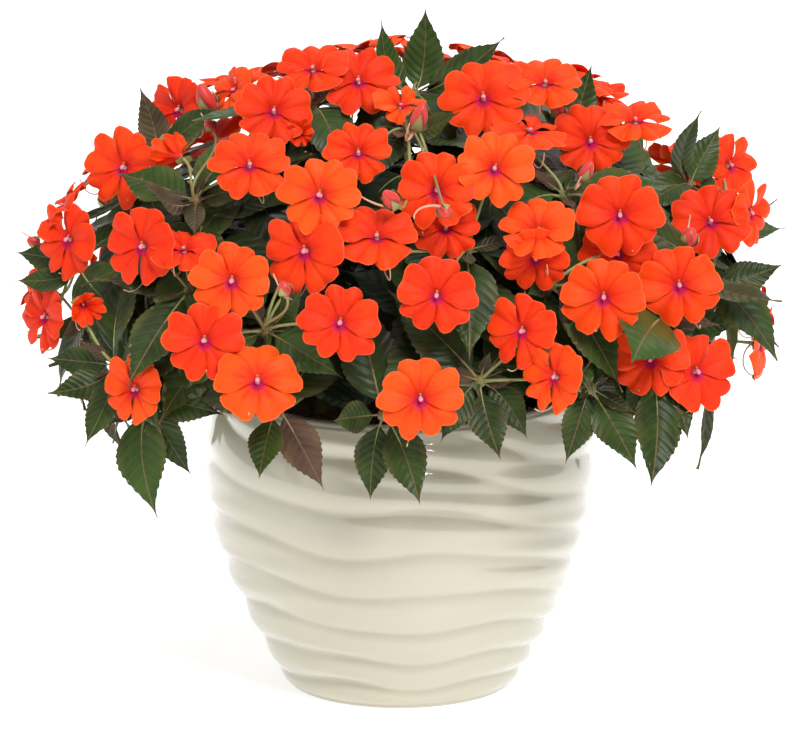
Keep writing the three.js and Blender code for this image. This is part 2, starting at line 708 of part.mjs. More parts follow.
function leafFaces(whorl, side, tip, [upperLeft, upperRight, lowerLeft, lowerRight], add, faces) {
  const curve = leafCurve(whorl, side, tip);
  const half = LEAF_WIDE * curve.getLength();
  const out = new THREE.Vector3().crossVectors(leafRoot(whorl, side).facing, whorl.axis).normalize();
  const blade = (share, width, height) => {
    const run = curve.getTangent(share);
    const top = new THREE.Vector3().crossVectors(out, run).normalize();
    const fold = Math.abs(width) * half * LEAF_FOLD;
    return add(along(along(curve.getPoint(share), out, width * half), top, fold + height));
  };
  const rim = whorl.leaves[side].set ? LEAF_RIM : INNER_LEAF_RIM;
  const left = rim.map(([share, width]) => blade(share, -width, 0));
  const right = rim.map(([share, width]) => blade(share, width, 0));
  const end = add(tip);
  const ribTop = MIDRIB.map((share) => blade(share, 0, LEAF_THICK / 2));
  const ribBack = MIDRIB.map((share) => blade(share, 0, -LEAF_THICK / 2));
  const edge = (chain, rib, flip) => {
    for (let place = 0; place + 1 < chain.length; place += 1) {
      const middle = rib[place < MIDRIB_CHANGE ? 0 : 1];
      const pair = flip ? [chain[place], chain[place + 1]] : [chain[place + 1], chain[place]];
      faces.push(middle, pair[0], pair[1]);
    }
    const across = chain[MIDRIB_CHANGE];
    faces.push(...(flip ? [rib[0], across, rib[1]] : [rib[0], rib[1], across]));
  };
  edge([upperLeft, ...left, end], ribTop, false);
  edge([upperRight, ...right, end], ribTop, true);
  edge([lowerLeft, ...left, end], ribBack, true);
  edge([lowerRight, ...right, end], ribBack, false);
  faces.push(ribTop[0], upperLeft, upperRight, ribBack[0], lowerRight, lowerLeft);
  faces.push(upperLeft, left[0], lowerLeft, right[0], upperRight, lowerRight);
}

function bearingOf(point) {
  return ((Math.atan2(point.y, point.x) * 180) / Math.PI + 360) % 360;
}

function stemIndex(point) {
  const sector = 360 / STEM_COUNT;
  return Math.floor(((bearingOf(point) + sector / 2) % 360) / sector);
}

function stemBearing(index) {
  return rad((360 / STEM_COUNT) * index);
}

function stemRoot(index) {
  const bearing = stemBearing(index);
  return new THREE.Vector3(STEM_RING * Math.cos(bearing), STEM_RING * Math.sin(bearing), 0);
}

function mainStem(index) {
  const root = stemRoot(index);
  const bearing = stemBearing(index);
  const fork = forkPoint(index);
  const foot = SOIL_TOP - HOLE_DEPTH + FIT_GAP;
  const out = new THREE.Vector3(Math.cos(bearing), Math.sin(bearing), 0);
  const curve = new THREE.CubicBezierCurve3(
    new THREE.Vector3(root.x, root.y, foot),
    new THREE.Vector3(root.x, root.y, SOIL_TOP + 3 * SOIL_CROWN),
    along(fork, out, -STEM_LEAN).setZ(fork.z - 2 * STEM_LEAN),
    fork,
  );
  return tube(curve, STEM_RADIUS, STEM_SIDES, STEM_STEPS);
}

function forkPoint(index) {
  const turn = stemBearing(index);
  return new THREE.Vector3(FORK_RING * Math.cos(turn), FORK_RING * Math.sin(turn), SOIL_TOP + FORK_RISE);
}

// A branch for each whorl, from the nearest place on what has grown already
function growBranches(index, own) {
  const joints = [along(forkPoint(index), new THREE.Vector3(0, 0, 1), -FORK_SINK)];
  const nearestFirst = [...own].sort((one, other) => (
    one.at.distanceTo(joints[0]) - other.at.distanceTo(joints[0])));
  return nearestFirst.map((whorl) => {
    const from = joints.reduce((one, other) => (
      one.distanceTo(whorl.at) <= other.distanceTo(whorl.at) ? one : other));
    const length = from.distanceTo(whorl.at);
    const rise = new THREE.Vector3(0, 0, BRANCH_RISE * length);
    const curve = new THREE.CubicBezierCurve3(
      from,
      from.clone().lerp(whorl.at, BRANCH_EASE).add(rise),
      along(whorl.at, whorl.axis, -BRANCH_EASE * length),
      whorl.at,
    );
    joints.push(curve.getPoint(BRANCH_JOINT));
    return { solid: tube(curve, BRANCH_RADIUS, STALK_SIDES, STALK_STEPS), whorl };
  });
}

function pedicel(whorl, bloom, bend) {
  const end = along(bloom.centre, bloom.face, -(THROAT_HALF + FIT_GAP));
  const reach = end.clone().sub(whorl.at);
  const outward = reach.clone().addScaledVector(whorl.axis, -reach.dot(whorl.axis)).normalize();
  const start = along(whorl.at, outward, PEDICEL_ASIDE);
  const length = start.distanceTo(end);
  const curve = new THREE.CubicBezierCurve3(
    start,
    along(along(start, outward, PEDICEL_OUT * length), whorl.axis, bend * length),
    along(end, bloom.face, -PEDICEL_NECK * length),
    end,
  );
  return tube(curve, PEDICEL_RADIUS, STALK_SIDES, STALK_STEPS);
}

// A bloom's stalk grows from the nearest whorl that it reaches without crossing anything
function addPedicel(bloom, whorls, stems, bloomSolids) {
  const near = [...whorls].sort((one, other) => (
    one.at.distanceTo(bloom.centre) - other.at.distanceTo(bloom.centre)));
  for (const whorl of near.slice(0, PEDICEL_TRIES)) {
    const stem = stems.find((one) => one.own.includes(whorl));
    const others = stems.filter((one) => one !== stem).flatMap((one) => one.parts.map((part) => part.solid));
    for (const bend of PEDICEL_BENDS) {
      const solid = pedicel(whorl, bloom, bend);
      if (clearOf(solid, others) && bloomSolids.every((other) => apart(solid, other))) {
        stem.parts.push({ solid, whorl });
        return;
      }
    }
  }
  throw new Error(`no way for the stalk of the bloom at ${bloom.centre.toArray().map(Math.round)}`);
}

function joined(solids) {
  return wasm.Manifold.union(solids);
}

function nearBoxes(one, other, margin) {
  const a = one.boundingBox();
  const b = other.boundingBox();
  return [0, 1, 2].every((axis) => a.min[axis] - margin < b.max[axis] && b.min[axis] - margin < a.max[axis]);
}

function apart(one, other) {
  return !nearBoxes(one, other, 0) || one.intersect(other).volume() < NO_VOLUME;
}

function clearOf(solid, others) {
  return others.every((other) => !nearBoxes(solid, other, FIT_GAP) || solid.minGap(other, 1) > FIT_GAP);
}

const material = (color, roughness) => new THREE.MeshStandardMaterial({ color, roughness, metalness: 0 });
const glaze = material(GLAZE, 0.15);
const soilMatter = material(SOIL_BROWN, 0.9);
const leafGreen = material(LEAF_GREEN, 0.45);
const petalOrange = material(PETAL_ORANGE, 0.6);

function named(name, geometry, finish) {
  const mesh = new THREE.Mesh(geometry, finish);
  mesh.name = name;
  return mesh;
}

const numbered = (word, index) => `${word}_${String(index + 1).padStart(2, '0')}`;

const group = new THREE.Group();
const potSolid = solidFrom(potGeometry());
group.add(named('pot', geometryFrom(potSolid), glaze));

const frontNodes = FRONT_BLOOMS.map((node) => node.map((bloom) => frontBloom(bloom, node[0])));
const bloomNodes = [...frontNodes, ...backBlooms()];
const bloomSolids = bloomNodes.map((node) => joined(node.map((bloom) => solidFrom(bloomGeometry(bloom)))));
bloomSolids.forEach((solid, index) => {
  group.add(named(numbered('bloom', index), geometryFrom(solid), petalOrange));
});

const blooms = bloomNodes.flat();
const whorls = allWhorls();
growLeaves(whorls, blooms);

const stems = [];
for (let index = 0; index < STEM_COUNT; index += 1) {
  const own = whorls.filter((whorl) => stemIndex(whorl.at) === index);
  const parts = [{ solid: mainStem(index), whorl: null }, ...growBranches(index, own)];
  stems.push({ index, own, parts });
}
for (const bloom of blooms) {
  addPedicel(bloom, whorls, stems, bloomSolids);
}

let soilSolid = solidFrom(soilGeometry());
for (const stem of stems) {
  const root = stemRoot(stem.index);
  const hole = new THREE.CylinderGeometry(HOLE_RADIUS, HOLE_RADIUS, HOLE_DEPTH * 2, 6);
  hole.rotateX(Math.PI / 2).translate(root.x, root.y, SOIL_TOP);
  soilSolid = soilSolid.subtract(solidFrom(hole));
}
group.add(named('soil', geometryFrom(soilSolid), soilMatter));

// Each leaf keeps clear of all but its own whorl; where it can't, it is shorter or missing
const leavesSoFar = [];
const fixedParts = [potSolid, soilSolid, ...bloomSolids];
for (const whorl of whorls) {
  whorl.kept = [];
  whorl.bare = solidFrom(whorlGeometry(whorl, [])).volume();
}
for (const set of [true, false]) {
  for (const whorl of whorls) {
    whorl.leaves.forEach((leaf, side) => {
      if (leaf.set === set) {
        keepLeaf(whorl, leaf, side);
      }
    });
  }
}

function keepLeaf(whorl, leaf, side) {
  const otherStalks = stems.flatMap((stem) => (
    stem.parts.filter((part) => part.whorl !== whorl).map((part) => part.solid)));
  const foreign = leavesSoFar.filter((one) => one.whorl !== whorl).map((one) => one.solid);
  const sisters = leavesSoFar.filter((one) => one.whorl === whorl).map((one) => one.solid);
  for (const share of LEAF_SHORTER) {
    const tip = leafRoot(whorl, side).at.clone().lerp(leaf.tip, share);
    const alone = [];
    alone[side] = tip;
    const solid = solidFrom(whorlGeometry(whorl, alone));
    const shared = whorl.bare + SISTER_OVERLAP;
    const crossing = sisters.some((sister) => solid.intersect(sister).volume() > shared);
    if (!crossing && clearOf(solid, [...fixedParts, ...otherStalks, ...foreign])) {
      whorl.kept[side] = tip;
      leavesSoFar.push({ whorl, solid });
      return;
    }
  }
}

for (const whorl of whorls) {
  whorl.solid = solidFrom(whorlGeometry(whorl, whorl.kept));
}
stems.forEach((stem, place) => {
  const pieces = [...stem.parts.map((part) => part.solid), ...stem.own.map((whorl) => whorl.solid)];
  group.add(named(numbered('leafy_stem', place), geometryFrom(joined(pieces)), leafGreen));
});

export default group;
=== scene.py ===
import math
from functools import lru_cache

import bpy
import numpy as np
from bpy.props import FloatProperty, FloatVectorProperty, IntProperty, PointerProperty
from bpy.types import Operator, Panel, PropertyGroup
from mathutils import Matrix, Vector
from mathutils.kdtree import KDTree


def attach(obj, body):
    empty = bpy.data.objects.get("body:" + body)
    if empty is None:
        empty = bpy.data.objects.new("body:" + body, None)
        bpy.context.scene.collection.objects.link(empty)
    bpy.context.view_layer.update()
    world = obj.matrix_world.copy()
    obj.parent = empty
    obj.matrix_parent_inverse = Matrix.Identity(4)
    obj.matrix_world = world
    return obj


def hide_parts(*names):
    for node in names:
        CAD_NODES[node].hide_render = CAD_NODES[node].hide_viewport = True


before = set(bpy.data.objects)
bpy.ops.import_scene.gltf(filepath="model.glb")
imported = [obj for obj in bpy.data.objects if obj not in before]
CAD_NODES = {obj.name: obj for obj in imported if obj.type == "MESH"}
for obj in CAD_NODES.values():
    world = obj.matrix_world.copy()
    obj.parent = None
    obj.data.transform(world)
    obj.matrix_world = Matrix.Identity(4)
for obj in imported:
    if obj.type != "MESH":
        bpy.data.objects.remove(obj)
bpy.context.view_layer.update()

bl_info = {
    "name": "Potted New Guinea impatiens",
    "version": (1, 0, 0),
    "blender": (4, 5, 0),
    "location": "3D View > Sidebar > Impatiens",
    "description": "Dresses a potted New Guinea impatiens: pot, soil, stems, leaves, blooms and buds",
    "category": "Object",
}

# Everything below is worked out in millimetres and turned to metres when a mesh is made
MM = 0.001


# Pot
POT_HEIGHT = 234
FOOT_RADIUS = 86
FOOT_BEVEL = 3
BELLY_RADIUS = 147
BELLY_HEIGHT = 176
WAIST_HEIGHT = 94
SHOULDER_DROP = 10
WALL = 12
FLOOR = 12
LIP_ROUND = 4
RIDGE_DEPTH = 5
RIDGE_MIDDLE = 0.6
RIDGE_COUNT = 8.2
RIDGE_MORE = 0.9
RIDGE_SPREAD = 0.8
RIDGE_LEAN = 0.72
RIDGE_FADE = 14
# Waves of the bands: height as a share of a band, waves round the pot, turn, and change of turn with height
RIDGE_WAVES = [[0.3, 2, 0.9, 0.006], [0.24, 3, -0.7, 0.014], [0.06, 5, 2, 0.02], [0.04, 7, 0, -0.03]]
RIDGE_SWELL = [0.7, 0.3]

# Soil and the holes that the stems stand in
SOIL_TOP = 206
SOIL_CROWN = 6
SOIL_GAP = 0.4
HOLE_DEPTH = 26
FIT_GAP = 0.3

# Crown of the plant: the rounded surface that the blooms lie on
CROWN_ACROSS = 272
CROWN_DEEP = 255
CROWN_HIGH = 195
CROWN_MIDDLE = 285
VIEW_TILT = 15
# A face that is as good as level has no up of its own, below this sine of its slope
NEARLY_LEVEL = 0.05

# Bloom: five two-lobed petals round a small throat
BLOOM_RADIUS = 30.6
THROAT_HALF = 1.5
PETAL_STEP = 72
PETAL_CAMBER = 1.2
PETAL_LENGTHS = [0.98, 1.03, 1.0, 1.0, 1.03]
PETAL_EDGES = [[-1.4, -1.4], [1.6, 1.6], [-1.4, -1.2], [1.2, -1.4], [1.6, 1.6]]

# Leaf: a folded, arched blade with forward teeth
LEAF_LENGTH = 92
LEAF_WIDE = 0.2
LEAF_FOLD = 0.2
LEAF_ARCH = 0.12
LEAF_RUN = 0.35
HUB_RADIUS = 5.6
WHORL_LIFT = 0.35
LEAF_TURN_LEAST = 56
LEAF_TURN_FREE = 40
LEAF_TURN_FIRST = 17
SPREAD_PASSES = 12

# Stems
STEM_COUNT = 8
STEM_RADIUS = 6
STEM_RING = 58
STEM_LEAN = 6
FORK_RING = 68
FORK_RISE = 44
FORK_SINK = 5
BRANCH_RADIUS = 3.4
BRANCH_RISE = 0.12
BRANCH_EASE = 0.3
BRANCH_JOINT = 0.55
PEDICEL_RADIUS = 1.5
PEDICEL_ASIDE = 2
PEDICEL_OUT = 0.1
PEDICEL_NECK = 0.35
PEDICEL_TRIES = 6
PEDICEL_BENDS = [0.3, 0.55, 0.1, 0.8]

# Blooms of the front, one list for each node; those in one list have grown into each other.
# A bloom: across and up as seen from the front, how far it stands proud of the crown,
# the turn and tilt of its face, the roll of its top petal, its size and the rise of its cup.
FRONT_BLOOMS = [
    [[-166, 429, 0, -45, 8, -10, 0.95, 10]],
    [[-207, 385, 4, -25, 5, 5, 1, 6]],
    [[-248, 331, 6, -40, 0, 10, 0.98, 6], [-252, 356, -12, -80, 40, 0, 0.8, 4]],
    [[-191, 325, 8, -35, 0, 0, 1.03, 6], [-160, 322, 18, -10, 50, 0, 0.85, 4]],
    [[-266, 273, 0, -55, 0, 15, 0.9, 6]],
    [[-237, 283, 0, 20, -20, 0, 0.7, 50]],
    [[-112, 385, 6, 0, 28, 0, 1, 4]],
    [[-31, 394, 6, 0, 20, 0, 0.83, 4]],
    [[27, 366, 6, -5, 5, 0, 1, 6], [70, 382, 4, 8, 10, 15, 0.95, 6]],
    [[34, 338, -20, 0, 20, 0, 0.85, 4]],
    [[62, 436, 8, -6, 22, -5, 1.12, 2], [108, 447, 4, 0, 42, 0, 0.9, 4], [96, 410, 26, 25, 62, 0, 0.95, 2]],
    [[142, 404, -12, 12, 10, 0, 0.95, 6], [176, 419, -20, 10, 52, 0, 0.9, 4]],
    [[150, 440, -30, 0, 60, 0, 0.75, 4]],
    [[163, 348, 18, 0, 0, 0, 1.05, 6]],
    [[161, 320, -20, 0, -10, 0, 0.95, 4]],
    [[249, 388, 4, 42, 10, 0, 0.85, 6]],
    [[232, 344, 6, 5, 20, -15, 1, 6], [262, 351, -12, 60, 0, 0, 0.85, 4]],
    [[207, 296, 16, 5, 5, -5, 1.05, 2]],
    [[150, 287, 14, -8, 0, 5, 1.05, 4]],
    [[220, 232, 6, 28, 0, 0, 1.03, 6], [186, 241, 20, 0, 0, 0, 0.97, 4]],
    [[102, 335, 0, -5, 35, 10, 0.97, 12], [100, 316, -2, 0, -20, 0, 0.85, 10]],
    [[90, 262, 6, -28, 0, 10, 0.95, 4], [114, 228, 24, -42, 5, 0, 0.92, 4]],
    [[27, 288, 10, 0, 0, 5, 1, 4]],
    [[15, 212, 6, 0, 0, 0, 1.04, 4]],
    [[-105, 225, 10, 0, 20, 0, 1.1, -6]],
    [[-44, 268, 2, 0, 0, 8, 1, 4]],
    [[-70, 321, 6, -28, 0, -5, 1.08, 4], [-59, 362, 8, -10, 10, 0, 1, 4]],
    [[-17, 331, 6, 0, 38, 0, 1, 4]],
    [[-124, 299, 10, -12, 0, 5, 1, 4], [-144, 255, 8, -5, 0, 0, 1, 4]],
    [[-196, 219, 4, -38, 0, 0, 0.9, 6]],
    [[-94, 426, 8, 8, 20, 10, 0.95, 4], [-76, 410, 4, 10, 0, 0, 0.5, 45]],
    [[-31, 449, 6, 5, 30, 0, 1, 4], [-65, 458, 2, -10, 45, 0, 0.9, 4]],
    [[0, 430, -14, 30, 45, 0, 0.7, 4]],
    [[-124, 443, 4, -60, 30, 0, 0.75, 6]],
    [[-163, 391, -8, -140, 20, 0, 0.8, 48]],
]

# Rows of blooms round the back: height angle on the crown, first and last bearing, how many nodes
BACK_ROWS = [[0, 6, 174, 6], [29, 26, 152, 5], [56, 34, 146, 3], [78, 90, 90, 1]]
BACK_HEIGHT_SPREAD = 8
BACK_SLOPE_SPREAD = 70
# How many blooms have grown together in each of those nodes, half the way from one to the next,
# and how far they turn away from each other
BACK_GROUPS = [2, 3, 2, 2, 3, 2, 2, 3, 1, 2, 2, 2, 2, 1, 2]
BACK_HALF_STEP = 25
BACK_SPLAY = 0.3
BACK_LIFT = 0.3
BACK_SWAY = 0.4
BACK_ROLL = 50
BACK_SIZES = [0.94, 1.06]
BACK_CUP = 6
BACK_SEED = 417

# Whorls of leaves of the front: across and up, depth under the crown, number of leaves,
# and the tips of the leaves that show: across, up and how far nearer the eye than the whorl.
FRONT_WHORLS = [
    [10, 440, 44, 5, [[19, 507, 4], [-14, 495, 10], [78, 482, 14]]],
    [128, 408, 40, 4, [[144, 463, -15], [100, 432, 44]]],
    [218, 372, 34, 4, [[226, 428, 14], [242, 418, -30], [176, 350, 40]]],
    [236, 345, 50, 4, [[292, 365, 30], [290, 340, -10], [232, 394, -24]]],
    [226, 306, 22, 4, [[284, 284, 45], [281, 240, 30]]],
    [236, 296, 56, 3, [[289, 313, -20], [284, 250, 0]]],
    [188, 232, 30, 4, [[186, 146, 25], [214, 180, 14], [154, 160, 0]]],
    [141, 220, 34, 4, [[175, 160, 25], [122, 163, 5]]],
    [59, 225, 34, 5, [[74, 167, 30], [30, 180, 28], [94, 182, 14]]],
    [-12, 200, 34, 5, [[15, 133, 20], [-22, 136, -5], [-49, 196, 40]]],
    [-91, 205, 34, 4, [[-104, 153, 28], [-56, 144, 5]]],
    [-185, 210, 34, 4, [[-180, 123, 20], [-155, 155, -5], [-130, 200, 32]]],
    [-212, 236, 28, 5, [[-262, 216, 20], [-234, 176, 25], [-264, 242, -22]]],
    [-238, 310, 40, 4, [[-299, 299, -20], [-290, 322, -34]]],
    [-185, 395, 46, 4, [[-196, 446, -12], [-132, 432, 22]]],
    [-152, 359, 24, 5, [[-192, 376, 38], [-105, 368, 30], [-152, 320, 40]]],
    [-156, 293, 40, 4, [[-202, 220, 30]]],
    [-99, 262, 28, 5, [[-150, 250, 28], [-68, 298, 36], [-42, 227, 20]]],
    [-65, 430, 34, 4, []],
    [49, 321, 38, 4, [[0, 338, 24]]],
    [122, 362, 38, 4, []],
    [4, 410, 34, 4, [[-20, 372, 35], [45, 425, 30]]],
    [112, 296, 40, 4, [[80, 284, 42]]],
    [196, 272, 30, 4, [[176, 238, 40]]],
]

# Rows of whorls round the back: height angle on the crown, first and last bearing, how many
BACK_WHORL_ROWS = [[-14, 14, 166, 5], [28, 30, 150, 4], [62, 55, 125, 2]]
BACK_WHORL_DEPTH = 34
BACK_WHORL_LEAVES = 4
LEAF_DROOPS = [-8, -22, -38, 8]
LEAF_SHARES = [1, 0.84]
LEAF_SHORTER = [1, 0.84, 0.68, 0.54]

# Buds of the front: across, up, proud of the crown, lean to the right, size, kind,
# and where the whorl is that its stalk comes from, if that isn't the nearest one
BUDS = [
    [17, 465, -6, 0, 0.9, "long", None],
    [14, 420, 30, 20, 1.0, "long", None],
    [-146, 436, 2, -20, 1.15, "long", None],
    [-142, 416, 6, -30, 0.7, "round", None],
    [-67, 451, 0, -10, 0.8, "round", None],
    [118, 427, 10, -15, 0.9, "round", None],
    [138, 380, 24, 30, 0.8, "long", None],
    [-7, 359, 34, -40, 0.95, "long", (4, 410)],
    [33, 349, 26, 165, 0.8, "round", (4, 410)],
    [-85, 293, 26, -20, 0.8, "round", None],
    [215, 332, 26, 10, 1.0, "round", None],
    [-277, 330, -4, -60, 0.7, "round", None],
]
# Buds round the back: height angle on the crown and bearing
BACK_BUDS = [(12, 40), (40, 70), (15, 110), (42, 125), (18, 150), (65, 80), (30, 95), (50, 40)]
# Leaves seen from the front that are bronze: across and up of the tip, and how far they have turned
BRONZE_LEAVES = [(-56, 144, 0.95), (-196, 446, 0.7), (-192, 376, 0.75), (-152, 320, 0.7), (-105, 368, 0.6)]
# Leaves in front of the blooms: across and up of the tip, how far it stands proud of the crown, its tone,
# and across and up of the whorl that it comes from
FRONT_LEAVES = [(170, 237, 50, 0.0, 196, 272)]
# How much a leaf whose tip is set turns its upper side to the front
FACE_THE_FRONT = 0.8
# Lowest that an added leaf may hang in front of the pot, and beside it
BARE_POT = 208
BARE_SIDE = 186
LOWEST_LEAF = 150
# Room that the added leaves leave round the pot and over its soil and its lip, and how far out on the soil
# they may start
POT_ROOM = 8
LIP_ROOM = 6
SOIL_RING = 118
# How far out of the crown an added leaf may reach, as a share of the crown squared
CROWN_EDGE = 1.06
# Shares of the crown squared between which painted shade darkens the leaves inwards
SHADE_FROM = 0.5
SHADE_TO = 0.92
# Lamps: name, bearing from the front, height angle, softness in degrees, power
LAMPS = [
    ("key_lamp", 24, 52, 30, 1.8),
    ("gloss_lamp", 26, 40, 12, 0.85),
    ("fill_lamp", -60, 30, 60, 0.5),
    ("top_lamp", 0, 86, 50, 0.6),
    ("rim_lamp", 165, 40, 50, 0.8),
]

# Fine form of the pot: how soft and high its bands are, the marks of the brush on them, its mesh,
# and what stands for the height of a band where there is none
RIDGE_SOFT = 1.35
RIDGE_SHARE = 0.88
BRUSH_DEPTH = 0.9
POT_TURNS = 240
POT_LEVELS = 150
FLAT_CREST = 0.6

# Fine form of the soil: its mesh, its lumps, the sizes of its chips, and the share of them that is bark
SOIL_TURNS = 96
SOIL_RINGS = 44
SOIL_LUMP = 1.2
CRUMB_SIZES = (1.4, 4.2)
BARK_SHARE = 0.955

# Fine form of each petal: turn of its middle and half of its angle in degrees, depth of its notch,
# tilt of its plane in degrees
PETAL_FORMS = [
    (0, 47, 0.13, -2.5),
    (1.5, 44, 0.1, 2),
    (-2.5, 42, 0.15, -1.5),
    (2.5, 42, 0.15, -1.5),
    (-1.5, 44, 0.1, 2),
]
PETAL_ROOT = 0.055
PETAL_BASE_SHARE = 0.97
PETAL_SHOULDER = 0.4
PETAL_EDGE_LIFT = 1.35
PETAL_CREASE = 1.5
PETAL_PILLOW = 1.7
PETAL_DIP = 2.6
PETAL_WAVES = 1.5
PETAL_SHEET = 0.5
PETAL_GRID = (12, 17)
SPUR_LENGTH = 50.0
SPUR_RADIUS = 0.75

# Blooms in the wider gaps of the back: tries, distance to the next one, height angles, bearings and sizes
EXTRA_TRIES = 500
EXTRA_STEP = 59.0
EXTRA_HEIGHTS = (-6, 78)
EXTRA_BEARINGS = (14, 166)
EXTRA_SIZE = 0.92
EXTRA_SIZE_SPREAD = 0.1

# Fine form of a leaf: its outline, width, drawn-out tip, teeth, cupping, the wave and twist of its rim,
# the humps between its veins, its mesh, and where its blade starts and its midrib ends
LEAF_SWELL = 1.1
LEAF_TAPER = 1.3
BLADE_WIDE = 0.23
LEAF_DRAWN_TIP = 0.05
LEAF_TIP_WIDE = 0.1
TOOTH_WIDE = 0.03
TOOTH_FORWARD = 0.2
LEAF_CUP = 0.0045
LEAF_WAVE = 1.5
LEAF_TWIST = 0.12
LEAF_HUMP = 0.55
LEAF_ROWS = 30
LEAF_COLUMNS = 4
LEAF_BLADE_START = 0.1
LEAF_RIB_END = 0.65
LEAF_SHEET = 0.5
# Side veins: how many leave the midrib, and how they slant and bend towards the tip
VEINS = 9.2
VEIN_SLANT = 0.75
VEIN_BEND = 1.2

# Leaves that are added: a second tier under each whorl, inner ones along the branches, young ones on top
LEAF_SIZES = (1.0, 0.82, 0.66, 0.5)
BLOOM_CLEARANCE = 7.0
BLOOM_VIEW = 90.0
BLOOM_ROOM = 1.02
LEAF_CLEAR = 5.0
LOWER_LEAF = 84.0
LOWER_COUNT = 4
LOWER_DROOPS = (-30, -48, -12, 8)
INNER_TIERS = (0.3, 0.52)
INNER_COUNT = 5
INNER_LEAF = 88.0
INNER_WIDE = 0.24
INNER_DROOPS = (0, -25, 25, -50)
INNER_CLEAR = 2.5
YOUNG_LEAF = 40.0
YOUNG_COUNT = 4
YOUNG_WIDE = 0.16
YOUNG_RISES = (35, 52, 20)

# Buds: half of their length by kind, and half of their width
BUD_LENGTHS = {"round": 7.5, "long": 12.0}
BUD_WIDTH = 6.0

# How near a point of the solids has to be, to be taken for a leaf's tip or for a stalk
TIP_FOUND = 0.05
STALK_FOUND = 0.15
FILL_SEED = 90

# Half of the floor's side in metres
FLOOR_HALF = 40.0
# The photograph: its size, the row of pixels that the pot stands on, and the millimetres of a pixel
PHOTO_WIDE = 800
PHOTO_HIGH = 755
PHOTO_FOOT_ROW = 677
PHOTO_MM_PER_PIXEL = 0.76


# Small tools for points and directions

def unit(vector):
    return vector / np.linalg.norm(vector, axis=-1, keepdims=True)


def turned(vector, axis, degrees):
    angle = math.radians(degrees)
    straight = axis * np.dot(axis, vector) * (1 - math.cos(angle))
    return vector * math.cos(angle) + np.cross(axis, vector) * math.sin(angle) + straight


def sine(degrees):
    return math.sin(math.radians(degrees))


def cosine(degrees):
    return math.cos(math.radians(degrees))


def between(ends, share):
    return ends[0] + (ends[1] - ends[0]) * share


def turns_round(count):
    return np.linspace(0, 2 * math.pi, count, endpoint=False)


def seeded(seed):
    state = seed
    while True:
        state = (state * 16807) % 2147483647
        yield state / 2147483647


def smooth(value, low, high):
    share = np.clip((value - low) / (high - low), 0, 1)
    return share * share * (3 - 2 * share)


def quadratic(start, bend, end, shares):
    t = np.asarray(shares)[..., None]
    return (1 - t) ** 2 * start + 2 * t * (1 - t) * bend + t ** 2 * end


def quadratic_run(start, bend, end, shares):
    t = np.asarray(shares)[..., None]
    return unit(2 * (1 - t) * (bend - start) + 2 * t * (end - bend))


def cubic(points, shares):
    a, b, c, d = points
    t = np.asarray(shares)[..., None]
    return (1 - t) ** 3 * a + 3 * t * (1 - t) ** 2 * b + 3 * t * t * (1 - t) * c + t ** 3 * d


def step_lengths(line):
    return np.linalg.norm(np.diff(line, axis=0), axis=1)


# The crown and what is placed on it, by the same rules as the solids

Z = np.array([0.0, 0.0, 1.0])
RIGHT = np.array([1.0, 0.0, 0.0])
UP = np.array([0.0, sine(VIEW_TILT), cosine(VIEW_TILT)])
AWAY = np.array([0.0, cosine(VIEW_TILT), -sine(VIEW_TILT)])


def crown_depth(across, up):
    start = RIGHT * across + UP * up
    y0 = start[1] / CROWN_DEEP
    z0 = (start[2] - CROWN_MIDDLE) / CROWN_HIGH
    dy = AWAY[1] / CROWN_DEEP
    dz = AWAY[2] / CROWN_HIGH
    a = dy * dy + dz * dz
    b = y0 * dy + z0 * dz
    c = (start[0] / CROWN_ACROSS) ** 2 + y0 * y0 + z0 * z0 - 1
    return (-b - math.sqrt(max(0.0, b * b - a * c))) / a


def from_front(across, up, depth):
    return RIGHT * across + UP * up + AWAY * depth


def crown_point(height, bearing):
    level = cosine(height)
    return np.array([
        CROWN_ACROSS * level * cosine(bearing),
        CROWN_DEEP * level * sine(bearing),
        CROWN_MIDDLE + CROWN_HIGH * sine(height),
    ])


def crown_normal(point):
    return unit(np.array([
        point[0] / CROWN_ACROSS ** 2,
        point[1] / CROWN_DEEP ** 2,
        (point[2] - CROWN_MIDDLE) / CROWN_HIGH ** 2,
    ]))


def crown_share(points):
    """Square of how far out points lie, as a share of the crown"""
    x, y, z = np.moveaxis(points, -1, 0)
    return (x / CROWN_ACROSS) ** 2 + (y / CROWN_DEEP) ** 2 + ((z - CROWN_MIDDLE) / CROWN_HIGH) ** 2


class Bloom:
    """Where a bloom is, which way it faces and where its top petal points"""

    def __init__(self, centre, face, roll, size, cup):
        level = np.cross(Z, face)
        if np.linalg.norm(level) < NEARLY_LEVEL:
            level = RIGHT
        self.centre = centre
        self.face = face
        self.up = turned(unit(np.cross(face, unit(level))), face, -roll)
        self.right = np.cross(self.up, face)
        self.radius = BLOOM_RADIUS * size
        self.cup = cup

    def at(self, angle, reach, height):
        """Points of the bloom from polar places round its centre"""
        turn = np.radians(np.asarray(angle))[..., None]
        spoke = self.up * np.cos(turn) + self.right * np.sin(turn)
        rise = math.radians(self.cup)
        reach = np.asarray(reach)[..., None]
        height = np.asarray(height)[..., None]
        return self.centre + spoke * reach * math.cos(rise) + self.face * (reach * math.sin(rise) + height)


def front_blooms():
    nodes = []
    for members in FRONT_BLOOMS:
        first = members[0]
        placed = []
        for across, up, proud, turn, tilt, roll, size, cup in members:
            depth = crown_depth(first[0], first[1]) - proud
            sideways = sine(turn) * cosine(tilt)
            outward = cosine(turn) * cosine(tilt)
            face = RIGHT * sideways + UP * sine(tilt) - AWAY * outward
            placed.append(Bloom(from_front(across, up, depth), face, roll, size, cup))
        nodes.append(placed)
    return nodes


